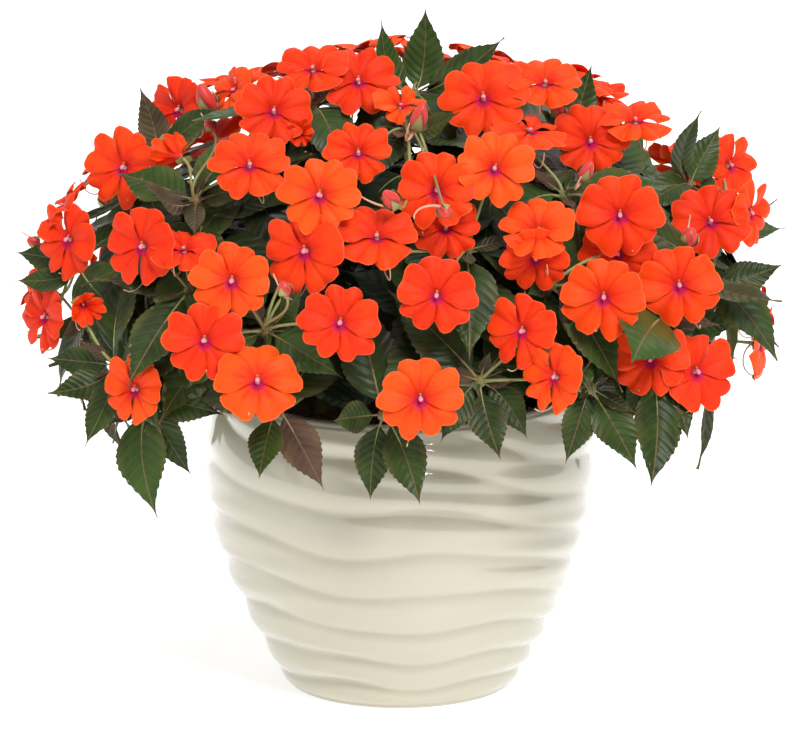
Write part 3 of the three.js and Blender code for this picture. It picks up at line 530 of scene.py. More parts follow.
def back_blooms():
    draw = seeded(BACK_SEED)
    nodes = []
    for height, first, last, count in BACK_ROWS:
        for place in range(count):
            share = place / (count - 1) if count > 1 else 0
            bearing = between((first, last), share)
            middle = crown_point(height + BACK_HEIGHT_SPREAD * (next(draw) - 0.5), bearing)
            normal = crown_normal(middle)
            level = unit(np.cross(Z, normal))
            slope = BACK_SLOPE_SPREAD * (next(draw) - 0.5)
            aslant = level * cosine(slope) + unit(np.cross(normal, level)) * sine(slope)
            face = normal + Z * BACK_LIFT
            face = face + BACK_SWAY * np.array([next(draw) - 0.5, next(draw) - 0.5, next(draw) - 0.5])
            face = unit(face)
            aslant = unit(aslant - face * np.dot(aslant, face))
            nodes.append(bloom_group(middle, face, aslant, BACK_GROUPS[len(nodes)], draw))
    return nodes


def bloom_group(middle, face, aslant, count, draw):
    """Blooms of one node, in a ring round its middle and turned away from each other"""
    members = []
    ring = BACK_HALF_STEP / math.sin(math.pi / count) if count > 1 else 0
    for place in range(count):
        out = turned(aslant, face, 360 * place / count)
        own = unit(face + out * (BACK_SPLAY if count > 1 else 0))
        roll = BACK_ROLL * (next(draw) - 0.5)
        size = between(BACK_SIZES, next(draw))
        members.append(Bloom(middle + out * ring, own, roll, size, BACK_CUP))
    return members


def extra_blooms(others):
    """Blooms in the wider gaps round the back"""
    draw = seeded(BACK_SEED + 1)
    centres = [bloom.centre for bloom in others]
    extra = []
    for _ in range(EXTRA_TRIES):
        middle = crown_point(between(EXTRA_HEIGHTS, next(draw)), between(EXTRA_BEARINGS, next(draw)))
        sway = BACK_SWAY * np.array([next(draw) - 0.5, next(draw) - 0.5, next(draw) - 0.5])
        roll = BACK_ROLL * (next(draw) - 0.5)
        if min(np.linalg.norm(middle - centre) for centre in centres) > EXTRA_STEP:
            face = unit(crown_normal(middle) + Z * BACK_LIFT + sway)
            size = EXTRA_SIZE + EXTRA_SIZE_SPREAD * next(draw)
            extra.append(Bloom(middle, face, roll, size, BACK_CUP))
            centres.append(middle)
    return extra


class Leaf:
    """A leaf's turn round its whorl, and its tip once that is found in the solids"""

    def __init__(self, tip, placed, turn):
        self.tip = tip
        self.placed = placed
        self.turn = turn


class Whorl:
    """A ring of leaves round the end of a branch"""

    def __init__(self, at, count, tips):
        self.at = at
        self.axis = unit(crown_normal(at) + Z * WHORL_LIFT)
        level = unit(np.cross(Z, self.axis))
        self.up = unit(np.cross(self.axis, level))
        self.right = np.cross(self.up, self.axis)
        self.leaves = self.aimed_leaves(count, tips)
        self.branch = None

    def spoke(self, turn):
        return self.up * cosine(turn) + self.right * sine(turn)

    def aimed_leaves(self, count, tips):
        aimed = []
        for tip in tips:
            reach = tip - self.at
            turn = math.degrees(math.atan2(np.dot(reach, self.right), np.dot(reach, self.up)))
            aimed.append(Leaf(tip, True, (turn + 360) % 360))
        if not aimed:
            aimed.append(Leaf(None, False, LEAF_TURN_FIRST))
        aimed.sort(key=lambda leaf: leaf.turn)
        spread_turns(aimed)
        gaps = [[turn_gap(aimed, place), 0] for place in range(len(aimed))]
        for _ in range(len(aimed), count):
            widest = max(gaps, key=lambda gap: gap[0] / (gap[1] + 1))
            if widest[0] / (widest[1] + 2) >= LEAF_TURN_FREE:
                widest[1] += 1
        leaves = []
        for leaf, (wide, added) in zip(aimed, gaps):
            leaves.append(leaf)
            for free in range(1, added + 1):
                leaves.append(Leaf(None, False, leaf.turn + wide * free / (added + 1)))
        return leaves

    def corner(self, side):
        before = (side - 1) % len(self.leaves)
        turn = self.leaves[before].turn + turn_gap(self.leaves, before) / 2
        return self.at + self.spoke(turn) * HUB_RADIUS

    def root(self, side):
        return (self.corner(side) + self.corner((side + 1) % len(self.leaves))) / 2


def turn_gap(leaves, place):
    following = leaves[(place + 1) % len(leaves)].turn
    if place + 1 < len(leaves):
        return following - leaves[place].turn
    return following + 360 - leaves[place].turn


def spread_turns(leaves):
    if len(leaves) < 2:
        return
    for _ in range(SPREAD_PASSES):
        for place, leaf in enumerate(leaves):
            short = LEAF_TURN_LEAST - turn_gap(leaves, place)
            if short > 0:
                leaf.turn -= short / 2
                leaves[(place + 1) % len(leaves)].turn += short / 2


def all_whorls():
    whorls = []
    for across, up, inset, count, tips in FRONT_WHORLS:
        depth = crown_depth(across, up) + inset
        placed = [from_front(tip[0], tip[1], depth - tip[2]) for tip in tips]
        whorls.append(Whorl(from_front(across, up, depth), count, placed))
    for height, first, last, count in BACK_WHORL_ROWS:
        for place in range(count):
            surface = crown_point(height, first + (last - first) * place / (count - 1))
            at = surface - crown_normal(surface) * BACK_WHORL_DEPTH
            whorls.append(Whorl(at, BACK_WHORL_LEAVES, []))
    return whorls


def stem_index(point):
    sector = 360 / STEM_COUNT
    bearing = math.degrees(math.atan2(point[1], point[0])) % 360
    return int(((bearing + sector / 2) % 360) // sector)


def stem_place(index, ring, height):
    bearing = 360 / STEM_COUNT * index
    return np.array([ring * cosine(bearing), ring * sine(bearing), height])


def main_stem_points(index):
    fork = stem_place(index, FORK_RING, SOIL_TOP + FORK_RISE)
    root = stem_place(index, STEM_RING, SOIL_TOP - HOLE_DEPTH + FIT_GAP)
    above = stem_place(index, STEM_RING, SOIL_TOP + 3 * SOIL_CROWN)
    lean = stem_place(index, FORK_RING - STEM_LEAN, SOIL_TOP + FORK_RISE - 2 * STEM_LEAN)
    return root, above, lean, fork


def grow_branches(index, own):
    joints = [stem_place(index, FORK_RING, SOIL_TOP + FORK_RISE - FORK_SINK)]
    first = joints[0]
    for whorl in sorted(own, key=lambda one: np.linalg.norm(one.at - first)):
        start = min(joints, key=lambda joint: np.linalg.norm(joint - whorl.at))
        length = np.linalg.norm(start - whorl.at)
        bend = start + (whorl.at - start) * BRANCH_EASE + Z * BRANCH_RISE * length
        whorl.branch = (start, bend, whorl.at - whorl.axis * BRANCH_EASE * length, whorl.at)
        joints.append(cubic(whorl.branch, BRANCH_JOINT))


def stalk_points(whorl, bloom, bend):
    end = bloom.centre - bloom.face * (THROAT_HALF + FIT_GAP)
    reach = end - whorl.at
    outward = unit(reach - whorl.axis * np.dot(reach, whorl.axis))
    start = whorl.at + outward * PEDICEL_ASIDE
    length = np.linalg.norm(start - end)
    rise = start + outward * PEDICEL_OUT * length + whorl.axis * bend * length
    return start, rise, end - bloom.face * PEDICEL_NECK * length, end


class NodeFinder:
    """Finds which of the possible places a node's solid really uses"""

    def __init__(self, name):
        points = CAD_NODES[name].data.vertices
        self.tree = KDTree(len(points))
        for point in points:
            self.tree.insert(point.co, point.index)
        self.tree.balance()

    def gap(self, point):
        return self.tree.find(point * MM)[2] / MM

    def near(self, point, distance):
        return len(self.tree.find_range(point * MM, distance * MM))


def leaf_tips(whorl, side):
    """Each tip that a leaf of the solids can have, the likeliest first"""
    leaf = whorl.leaves[side]
    root = whorl.root(side)
    if leaf.placed:
        return [root + (leaf.tip - root) * share for share in LEAF_SHORTER]
    tips = []
    for shorter in LEAF_SHORTER:
        for share in LEAF_SHARES:
            for droop in LEAF_DROOPS:
                reach = whorl.spoke(leaf.turn) * cosine(droop) + whorl.axis * sine(droop)
                tips.append(root + reach * LEAF_LENGTH * share * shorter)
    return tips


@lru_cache(maxsize=None)
def plant_plan():
    """The whole plant: bloom nodes, whorls with their leaves, and each bloom's stalk"""
    bloom_nodes = front_blooms() + back_blooms()
    whorls = all_whorls()
    stems = []
    for index in range(STEM_COUNT):
        own = [whorl for whorl in whorls if stem_index(whorl.at) == index]
        grow_branches(index, own)
        stems.append({"name": f"leafy_stem_{index + 1:02d}", "whorls": own, "stalks": []})
    for stem in stems:
        stem["finder"] = NodeFinder(stem["name"])
        for whorl in stem["whorls"]:
            for side, leaf in enumerate(whorl.leaves):
                tips = [tip for tip in leaf_tips(whorl, side) if stem["finder"].gap(tip) < TIP_FOUND]
                leaf.tip = tips[0] if tips else None
    for bloom in [bloom for members in bloom_nodes for bloom in members]:
        give_stalk(bloom, stems)
    extra = extra_blooms([bloom for members in bloom_nodes for bloom in members])
    for bloom in extra:
        pairs = [(whorl, stem) for stem in stems for whorl in stem["whorls"]]
        whorl, stem = min(pairs, key=lambda pair: np.linalg.norm(pair[0].at - bloom.centre))
        stem["stalks"].append(stalk_points(whorl, bloom, PEDICEL_BENDS[0]))
    return {"blooms": bloom_nodes, "extra": extra, "stems": stems}


def give_stalk(bloom, stems):
    """The stalk that the solids give this bloom: its middle ring of points tells which it is"""
    pairs = [(whorl, stem) for stem in stems for whorl in stem["whorls"]]
    pairs.sort(key=lambda pair: np.linalg.norm(pair[0].at - bloom.centre))
    best = None
    most = 1
    for whorl, stem in pairs[:PEDICEL_TRIES]:
        for bend in PEDICEL_BENDS:
            points = stalk_points(whorl, bloom, bend)
            found = stem["finder"].near(half_way(points), PEDICEL_RADIUS + STALK_FOUND)
            if found > most:
                best = (stem, points)
                most = found
    if best is None:
        raise RuntimeError("a bloom has no stalk in the solids")
    best[0]["stalks"].append(best[1])


def half_way(points):
    """The point half way along a curve's length"""
    line = cubic(points, np.linspace(0, 1, 201))
    lengths = np.concatenate([[0], np.cumsum(step_lengths(line))])
    place = np.interp(lengths[-1] / 2, lengths, np.arange(201))
    low = int(place)
    return line[low] + (line[low + 1] - line[low]) * (place - low)


# Making meshes

class Shape:
    """Gathers the sheets and tubes of one piece"""

    def __init__(self):
        self.points = []
        self.maps = []
        self.tones = []
        self.reaches = []
        self.lows = []
        self.faces = []
        self.finishes = []
        self.count = 0

    def add(self, points, faces, maps=None, tone=0.0, reach=0.0, finish=0, low=0.0):
        points = np.asarray(points, float).reshape(-1, 3)
        total = len(points)
        maps = np.zeros((total, 2)) if maps is None else np.asarray(maps, float).reshape(-1, 2)
        self.points.append(points)
        self.maps.append(maps)
        self.tones.append(np.broadcast_to(np.asarray(tone, float).ravel(), (total,)))
        self.reaches.append(np.broadcast_to(np.asarray(reach, float).ravel(), (total,)))
        self.lows.append(np.broadcast_to(np.asarray(low, float).ravel(), (total,)))
        for block in faces:
            block = np.asarray(block, int)
            self.faces.append(block + self.count)
            self.finishes.append(np.full(len(block), finish))
        self.count += total

    def sheet(self, grid, maps=None, tone=0.0, reach=0.0, finish=0, flip=False, around=False, low=0.0):
        rows, columns = grid.shape[:2]
        self.add(grid, [grid_faces(rows, columns, flip, around)], maps, tone, reach, finish, low)

    def cap(self, ring, centre, flip, tone=0.0, reach=0.0, finish=0):
        """Closes a ring of points by a fan of triangles round its centre"""
        order = np.arange(len(ring))
        fan = np.stack([np.full(len(ring), len(ring)), np.roll(order, -1), order], 1)
        self.add(np.vstack([ring, centre]), [fan[:, ::-1] if flip else fan], None, tone, reach, finish)

    def tube(self, line, radii, sides=8, tone=0.0, finish=0, reach=None):
        line = np.asarray(line)
        radii = np.broadcast_to(np.asarray(radii, float), (len(line),))
        runs = unit(np.gradient(line, axis=0))
        normal = np.cross(runs[0], Z if abs(runs[0][2]) < 0.9 else RIGHT)
        rings = []
        for point, run, radius in zip(line, runs, radii):
            normal = unit(normal - run * np.dot(normal, run))
            other = np.cross(run, normal)
            turn = turns_round(sides)[:, None]
            rings.append(point + radius * (np.cos(turn) * normal + np.sin(turn) * other))
        grid = np.array(rings)
        length = np.repeat(np.linspace(0, 1, len(line)), sides)
        turns = np.tile(np.linspace(0, 1, sides, endpoint=False), len(line))
        reach = length if reach is None else reach
        self.sheet(grid, np.stack([turns, length], 1), tone, reach, finish, around=True)
        self.cap(grid[0], line[0], False, tone, 1.0, finish)
        self.cap(grid[-1], line[-1], True, tone, 1.0, finish)

    def ball(self, centre, along_axis, half_length, half_width, tone=0.0, finish=0, rings=8, sides=10):
        share = np.linspace(0, 1, rings)
        angle = share * math.pi
        line = centre + np.outer(-np.cos(angle) * half_length, along_axis)
        radii = np.maximum(np.sin(angle) * half_width, 0.02)
        self.tube(line, radii, sides, tone, finish)

    def mesh(self, name, finishes):
        points = np.vstack(self.points) * MM
        data = bpy.data.meshes.new(name)
        data.vertices.add(len(points))
        data.vertices.foreach_set("co", points.astype(np.float32).ravel())
        corners = np.concatenate([block.ravel() for block in self.faces])
        sizes = np.concatenate([np.full(len(block), block.shape[1]) for block in self.faces])
        data.loops.add(len(corners))
        data.loops.foreach_set("vertex_index", corners.astype(np.int32))
        data.polygons.add(len(sizes))
        starts = np.concatenate([[0], np.cumsum(sizes)[:-1]])
        data.polygons.foreach_set("loop_start", starts.astype(np.int32))
        data.polygons.foreach_set("material_index", np.concatenate(self.finishes).astype(np.int32))
        data.update(calc_edges=True)
        layer = data.uv_layers.new(name="growth")
        layer.data.foreach_set("uv", np.vstack(self.maps)[corners].astype(np.float32).ravel())
        for label, values in (("tone", self.tones), ("reach", self.reaches), ("low", self.lows)):
            attribute = data.attributes.new(label, "FLOAT", "POINT")
            attribute.data.foreach_set("value", np.concatenate(values).astype(np.float32))
        data.validate()
        data.shade_smooth()
        for finish in finishes:
            data.materials.append(finish)
        piece = bpy.data.objects.new(name, data)
        bpy.context.scene.collection.objects.link(piece)
        return piece


def grid_faces(rows, columns, flip=False, around=False):
    index = np.arange(rows * columns).reshape(rows, columns)
    if around:
        index = np.hstack([index, index[:, :1]])
    faces = np.stack([index[:-1, :-1], index[:-1, 1:], index[1:, 1:], index[1:, :-1]], -1).reshape(-1, 4)
    return faces[:, ::-1] if flip else faces


def seat(piece, slot, *nodes):
    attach(piece, "root")
    if nodes:
        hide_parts(*nodes)


# Finishes

class Finish:
    """A procedural material and short ways to add its nodes"""

    def __init__(self, name):
        self.material = bpy.data.materials.new(name)
        self.material.use_nodes = True
        self.tree = self.material.node_tree
        self.shader = self.tree.nodes["Principled BSDF"]

    def put(self, socket, value):
        if isinstance(value, bpy.types.NodeSocket):
            self.tree.links.new(value, socket)
        elif hasattr(value, "__len__") and len(value) == 3 and socket.type == "RGBA":
            socket.default_value = (*value, 1)
        else:
            socket.default_value = value

    def node(self, kind, settings=None, **inputs):
        made = self.tree.nodes.new(kind)
        for key, value in (settings or {}).items():
            setattr(made, key, value)
        for key, value in inputs.items():
            self.put(made.inputs[key.replace("_", " ")], value)
        return made

    def worked(self, operation, *values):
        made = self.tree.nodes.new("ShaderNodeMath")
        made.operation = operation
        for socket, value in zip(made.inputs, values):
            self.put(socket, value)
        return made.outputs[0]

    def times(self, one, other):
        return self.worked("MULTIPLY", one, other)

    def less(self, one, other):
        return self.worked("SUBTRACT", one, other)

    def times_and_more(self, one, other, more):
        return self.worked("MULTIPLY_ADD", one, other, more)

    def ramp(self, value, low, high, bottom=0.0, top=1.0):
        made = self.tree.nodes.new("ShaderNodeMapRange")
        made.interpolation_type = "SMOOTHSTEP"
        for key, entry in zip(("Value", "From Min", "From Max", "To Min", "To Max"),
                              (value, low, high, bottom, top)):
            self.put(made.inputs[key], entry)
        return made.outputs["Result"]

    def mix(self, share, one, other):
        made = self.tree.nodes.new("ShaderNodeMix")
        made.data_type = "RGBA"
        self.put(made.inputs["Factor"], share)
        self.put(made.inputs[6], one)
        self.put(made.inputs[7], other)
        return made.outputs[2]

    def read(self, label):
        return self.node("ShaderNodeAttribute", {"attribute_name": label}).outputs["Fac"]

    def growth(self):
        made = self.node("ShaderNodeUVMap", {"uv_map": "growth"})
        split = self.node("ShaderNodeSeparateXYZ", Vector=made.outputs[0])
        return split.outputs[0], split.outputs[1]

    def place(self):
        return self.node("ShaderNodeTexCoord").outputs["Object"]

    def joined(self, x, y, z=0.0):
        return self.node("ShaderNodeCombineXYZ", X=x, Y=y, Z=z).outputs[0]

    def noise(self, vector, scale, detail=3.0):
        return self.node("ShaderNodeTexNoise", Vector=vector, Scale=scale, Detail=detail).outputs["Fac"]

    def bump(self, height, distance, strength=1.0):
        made = self.node("ShaderNodeBump", Height=height, Distance=distance, Strength=strength)
        self.put(self.shader.inputs["Normal"], made.outputs[0])

    def surface(self, **inputs):
        for key, value in inputs.items():
            self.put(self.shader.inputs[key.replace("_", " ")], value)
        return self.material


def glaze_finish(look):
    finish = Finish("pot glaze")
    place = finish.place()
    # Painted shade in the grooves: where the band's crest, read as reach, is low, the glaze is mixed
    # towards the darker groove colour
    groove_shade = finish.ramp(finish.read("reach"), 0.05, 0.75)
    cloud = finish.ramp(finish.noise(place, 9, 4), 0.3, 0.75)
    speck = finish.ramp(finish.noise(place, 420, 2), 0.68, 0.78)
    base = finish.mix(groove_shade, look.groove_shade, look.glaze)
    base = finish.mix(finish.times(cloud, 0.3), base, look.glaze_light)
    # Small specks in the glaze, which take the same darker colour as the painted groove shade
    base = finish.mix(finish.times(speck, 0.12), base, look.groove_shade)
    finish.bump(finish.noise(place, 60, 3), 0.0006, 0.2)
    return finish.surface(Base_Color=base, Roughness=look.roughness, Coat_Weight=0.7, Coat_Roughness=0.06)


def soil_finish(look):
    finish = Finish("potting soil")
    place = finish.place()
    base = finish.mix(finish.noise(place, 120, 5), look.dark, look.light)
    finish.bump(finish.noise(place, 300, 5), 0.002, 0.8)
    return finish.surface(Base_Color=base, Roughness=0.95, Specular_IOR_Level=0.2)


def crumb_finish(look):
    finish = Finish("bark and grit")
    place = finish.place()
    tone = finish.read("tone")
    base = finish.mix(tone, look.dark, look.light)
    base = finish.mix(finish.ramp(tone, BARK_SHARE, BARK_SHARE + 0.005), base, look.grit)
    finish.bump(finish.noise(place, 500, 3), 0.001, 0.6)
    return finish.surface(Base_Color=base, Roughness=0.9, Specular_IOR_Level=0.2)


def petal_finish(look):
    finish = Finish("petal")
    across, along = finish.growth()
    tone = finish.read("tone")
    reach = finish.read("reach")
    spread = finish.times(across, 46.0)
    streaks = finish.noise(finish.joined(spread, finish.times(along, 2.2), tone), 1.0, 3)
    patches = finish.noise(finish.joined(across, along, finish.times(tone, 31.0)), 2.2, 2)
    deep = finish.ramp(patches, 0.35, 0.75, 0.0, 0.55)
    deep = finish.worked("ADD", deep, finish.times(finish.less(streaks, 0.5), 0.35))
    base = finish.mix(finish.worked("MAXIMUM", deep, 0.0), look.petal, look.petal_deep_and_shade)
    base = finish.mix(finish.ramp(tone, 0.05, 0.5, 0.5, 0.0), base, look.petal_deep_and_shade)
    base = finish.mix(finish.ramp(tone, 0.5, 1.0, 0.0, 0.6), base, look.petal_warm)
    # Painted highlight: a paler band along each petal's rim, where light catches the edge
    edge = finish.ramp(along, 0.955, 1.0, 0.0, 0.45)
    base = finish.mix(edge, base, look.petal_rim_highlight)
    # Painted shade along each petal's middle crease, strongest near the eye
    middle = finish.worked("ABSOLUTE", finish.less(across, 0.5))
    crease = finish.ramp(middle, 0.0, 0.09, 0.75, 0.0)
    crease = finish.times(crease, finish.ramp(along, 0.75, 0.2, 0.0, 1.0))
    base = finish.mix(crease, base, look.petal_deep_and_shade)
    # Deeper red towards the eye: partly the bloom's own colour, partly painted shade in the throat
    root = finish.times(finish.ramp(reach, 5.0, 19.0, 1.0, 0.0), 0.75)
    base = finish.mix(root, base, look.petal_deep_and_shade)
    low = finish.read("low")
    wander = finish.times_and_more(finish.less(streaks, 0.5), 9.0, reach)
    wander = finish.times_and_more(low, -2.6, wander)
    base = finish.mix(finish.ramp(wander, 2.8, 6.2, 0.92, 0.0), base, look.eye)
    finish.bump(streaks, 0.0007, 0.35)
    return finish.surface(
        Base_Color=base, Roughness=0.5, Specular_IOR_Level=0.13,
        Sheen_Weight=0.03, Sheen_Roughness=0.5, Sheen_Tint=look.sheen,
        Subsurface_Weight=0.2, Subsurface_Radius=(0.6, 0.06, 0.01), Subsurface_Scale=0.005)


def heart_finish(look):
    finish = Finish("bloom heart")
    reach = finish.read("reach")
    base = finish.mix(finish.ramp(reach, 0.1, 0.5), look.eye, look.heart)
    return finish.surface(Base_Color=base, Roughness=0.4)


def tip_finish(look):
    finish = Finish("heart tip and sepals")
    base = finish.mix(finish.read("tone"), look.heart_tip, look.sepal)
    return finish.surface(Base_Color=base, Roughness=0.5)


def bud_finish(look):
    finish = Finish("bud")
    across, along = finish.growth()
    # Painted shade along the folds where the bud's petals wrap over each other
    seam = finish.worked("PINGPONG", finish.times(across, 3.0), 0.5)
    fold = finish.ramp(seam, 0.02, 0.2, 1.0, 0.0)
    base = finish.mix(finish.times(fold, 0.8), look.bud, look.bud_fold_shade)
    base = finish.mix(finish.ramp(along, 0.5, 1.0, 0.0, 0.6), base, look.petal_deep_and_shade)
    return finish.surface(Base_Color=base, Roughness=0.45, Sheen_Weight=0.2)


def spur_finish(look):
    finish = Finish("spur")
    base = finish.mix(finish.read("reach"), look.spur_base, look.spur_tip)
    return finish.surface(Base_Color=base, Roughness=0.45)


def leaf_pattern(finish):
    """Masks of the midrib and the side veins, and the height between them"""
    across, along = finish.growth()
    side = finish.worked("ABSOLUTE", finish.less(across, 0.5))
    rib = finish.ramp(side, 0.0035, 0.0085, 1.0, 0.0)
    bend = finish.times_and_more(finish.times(side, side), -VEIN_BEND, finish.times(side, -VEIN_SLANT))
    phase = finish.times(finish.worked("ADD", along, bend), VEINS)
    wave = finish.worked("PINGPONG", phase, 0.5)
    vein = finish.ramp(wave, 0.015, 0.06, 1.0, 0.0)
    hump = finish.ramp(wave, 0.0, 0.42)
    return side, rib, vein, hump


def leaf_finish(look):
    finish = Finish("leaf upper side")
    side, rib, vein, hump = leaf_pattern(finish)
    tone = finish.read("tone")
    place = finish.place()
    mottle = finish.ramp(finish.noise(place, 45, 3), 0.25, 0.8)
    green = finish.mix(mottle, look.green_dark, look.green)
    bronze = finish.mix(mottle, look.bronze_dark, look.bronze)
    base = finish.mix(finish.ramp(tone, 0.45, 0.9), green, bronze)
    base = finish.mix(finish.ramp(tone, 0.0, 0.4, 0.35, 0.0), base, look.green_light)
    base = finish.mix(finish.times(vein, 0.22), base, look.vein)
    base = finish.mix(finish.times(rib, 0.65), base, look.rib)
    base = finish.mix(finish.ramp(side, 0.13, 0.2, 0.0, 0.18), base, look.rib)
    # Painted shade: leaves deep inside the crown, by their reach, are darkened towards the shaded green
    base = finish.mix(finish.times(finish.read("reach"), 0.95), base, look.shade_green)
    fine = finish.noise(place, 900, 2)
    height = finish.less(hump, finish.times(rib, 0.7))
    height = finish.times_and_more(fine, 0.2, height)
    finish.bump(height, 0.0008, 0.4)
    return finish.surface(Base_Color=base, Roughness=0.34, Specular_IOR_Level=0.18)


def leaf_under_finish(look):
    finish = Finish("leaf under side")
    _, rib, vein, hump = leaf_pattern(finish)
    tone = finish.read("tone")
    base = finish.mix(finish.ramp(tone, 0.2, 0.9), look.under_green, look.under_red)
    base = finish.mix(finish.times(finish.worked("MAXIMUM", vein, rib), 0.6), base, look.under_rib)
    # Painted shade: leaves deep inside the crown, by their reach, are darkened towards the shaded green
    base = finish.mix(finish.times(finish.read("reach"), 0.95), base, look.shade_green)
    height = finish.less(rib, finish.times(hump, 0.7))
    finish.bump(height, 0.001, 0.7)
    return finish.surface(Base_Color=base, Roughness=0.55, Specular_IOR_Level=0.12)


def stem_finish(look, name, young):
    finish = Finish(name)
    place = finish.place()
    share = finish.ramp(finish.noise(place, 25, 3), 0.35, 0.65)
    blush = finish.times(finish.ramp(finish.read("tone"), 0.0, 1.0, 0.35, 1.0), share)
    base = finish.mix(blush, look.stalk if young else look.stem, look.red)
    finish.bump(finish.noise(place, 200, 3), 0.0006, 0.4)
    return finish.surface(Base_Color=base, Roughness=0.4, Specular_IOR_Level=0.25)


# Pot and soil

def wall_radius(z):
    rise = (z - BELLY_HEIGHT) / (POT_HEIGHT - BELLY_HEIGHT)
    shoulder = BELLY_RADIUS - SHOULDER_DROP * rise * rise
    lower = np.minimum(z, BELLY_HEIGHT) / BELLY_HEIGHT
    belly = FOOT_RADIUS + (BELLY_RADIUS - FOOT_RADIUS) * np.sin(lower * math.pi / 2)
    return np.where(z > BELLY_HEIGHT, shoulder, belly)


def ridge_crest(turn, z):
    phase = (RIDGE_COUNT + RIDGE_MORE * np.cos(turn)) * (z / POT_HEIGHT) ** RIDGE_SPREAD
    for high, waves, start, change in RIDGE_WAVES:
        phase = phase + high * np.sin(waves * turn + start + change * z)
    return np.sin(math.pi * (phase - np.floor(phase)) ** RIDGE_LEAN)


def ridge(turn, z):
    """How far the bands and the marks of the brush stand out"""
    swell = RIDGE_SWELL[0] + RIDGE_SWELL[1] * np.sin(3 * turn + 1.3 + 0.03 * z)
    fade = np.clip(np.minimum(z, POT_HEIGHT - z) / RIDGE_FADE, 0, 1)
    drift = 2.6 * np.sin(turn + 0.8) + 1.7 * np.sin(2 * turn + 0.012 * z)
    brushed = BRUSH_DEPTH * np.sin(z * 0.31 + drift)
    brushed = brushed * (0.5 + 0.5 * np.sin(3 * turn - 0.9 + 0.035 * z))
    bands = RIDGE_SHARE * RIDGE_DEPTH * (ridge_crest(turn, z) ** RIDGE_SOFT - RIDGE_MIDDLE) * swell
    return (bands + brushed) * fade


def make_pot(look):
    turn = turns_round(POT_TURNS)
    low = POT_HEIGHT - LIP_ROUND
    rows = []
    for angle in np.linspace(0, math.pi / 2, 5):
        radius = FOOT_RADIUS - FOOT_BEVEL + FOOT_BEVEL * math.sin(angle)
        rows.append((radius, FOOT_BEVEL * (1 - math.cos(angle)), 0))
    for z in np.linspace(FOOT_BEVEL, low, POT_LEVELS)[1:]:
        rows.append((wall_radius(z), z, 1))
    lip = wall_radius(POT_HEIGHT) - LIP_ROUND
    for angle in np.linspace(0.15, math.pi / 2, 6):
        rows.append((lip + LIP_ROUND * math.cos(angle), low + LIP_ROUND * math.sin(angle), 0))
    inner = wall_radius(POT_HEIGHT) - WALL + LIP_ROUND
    for angle in np.linspace(0, math.pi / 2, 6):
        rows.append((inner - LIP_ROUND * math.sin(angle), low + LIP_ROUND * math.cos(angle), 0))
    for z in (BELLY_HEIGHT, WAIST_HEIGHT, FLOOR):
        rows.append((wall_radius(z) - WALL, z, 0))
    grid = []
    crests = []
    for radius, z, ridged in rows:
        radii = radius + ridged * ridge(turn, z)
        grid.append(np.stack([radii * np.cos(turn), radii * np.sin(turn), np.full_like(turn, z)], 1))
        banded = ridged and RIDGE_FADE / 2 < z < POT_HEIGHT - RIDGE_FADE / 2
        crests.append(ridge_crest(turn, z) if banded else np.full_like(turn, FLAT_CREST))
    grid = np.array(grid)
    shape = Shape()
    # The crests go to the glaze as its reach, which sets the painted groove shade
    shape.sheet(grid, reach=np.array(crests), around=True)
    shape.cap(grid[0], [0, 0, 0], False, reach=FLAT_CREST)
    shape.cap(grid[-1], [0, 0, FLOOR], True, reach=FLAT_CREST)
    seat(shape.mesh("glazed_pot", [glaze_finish(look)]), "pot_glaze", "pot")


def room_in_pot(z, gap):
    return float(wall_radius(z)) - WALL - gap


def soil_height(x, y):
    share = np.clip(np.hypot(x, y) / room_in_pot(POT_HEIGHT, SOIL_GAP), 0, 1)
    lumps = np.sin(x * 0.13 + 1.1) * np.sin(y * 0.11 + 0.4) + 0.6 * np.sin(x * 0.31 + y * 0.23)
    return SOIL_TOP + SOIL_CROWN * (1 - share) + SOIL_LUMP * lumps * (1 - share ** 4)


def make_soil(look):
    rim = room_in_pot(POT_HEIGHT, SOIL_GAP)
    turn = turns_round(SOIL_TURNS)
    shape = Shape()
    radii = rim * np.linspace(1, 0.02, SOIL_RINGS)[:, None]
    x = radii * np.cos(turn)
    y = radii * np.sin(turn)
    top = np.stack([x, y, soil_height(x, y)], -1)
    under = FLOOR + FIT_GAP
    below = []
    for z, radius in (
            (under, 1), (under, room_in_pot(FLOOR, 1)), (WAIST_HEIGHT, room_in_pot(WAIST_HEIGHT, 1)),
            (BELLY_HEIGHT, rim)):
        below.append(np.stack([radius * np.cos(turn), radius * np.sin(turn), np.full_like(turn, z)], -1))
    shape.sheet(np.concatenate([below, top]), around=True)
    shape.cap(top[-1], top[-1].mean(axis=0), True)
    rng = np.random.default_rng(FILL_SEED)
    for _ in range(look.crumbs):
        bearing = rng.uniform(0, 2 * math.pi)
        ring = (rim - 4) * math.sqrt(rng.uniform(0, 1))
        size = rng.uniform(*CRUMB_SIZES)
        x, y = ring * math.cos(bearing), ring * math.sin(bearing)
        add_crumb(shape, np.array([x, y, float(soil_height(x, y)) + size * 0.1]), size, rng)
    seat(shape.mesh("potting_soil", [soil_finish(look), crumb_finish(look)]), "soil", "soil")


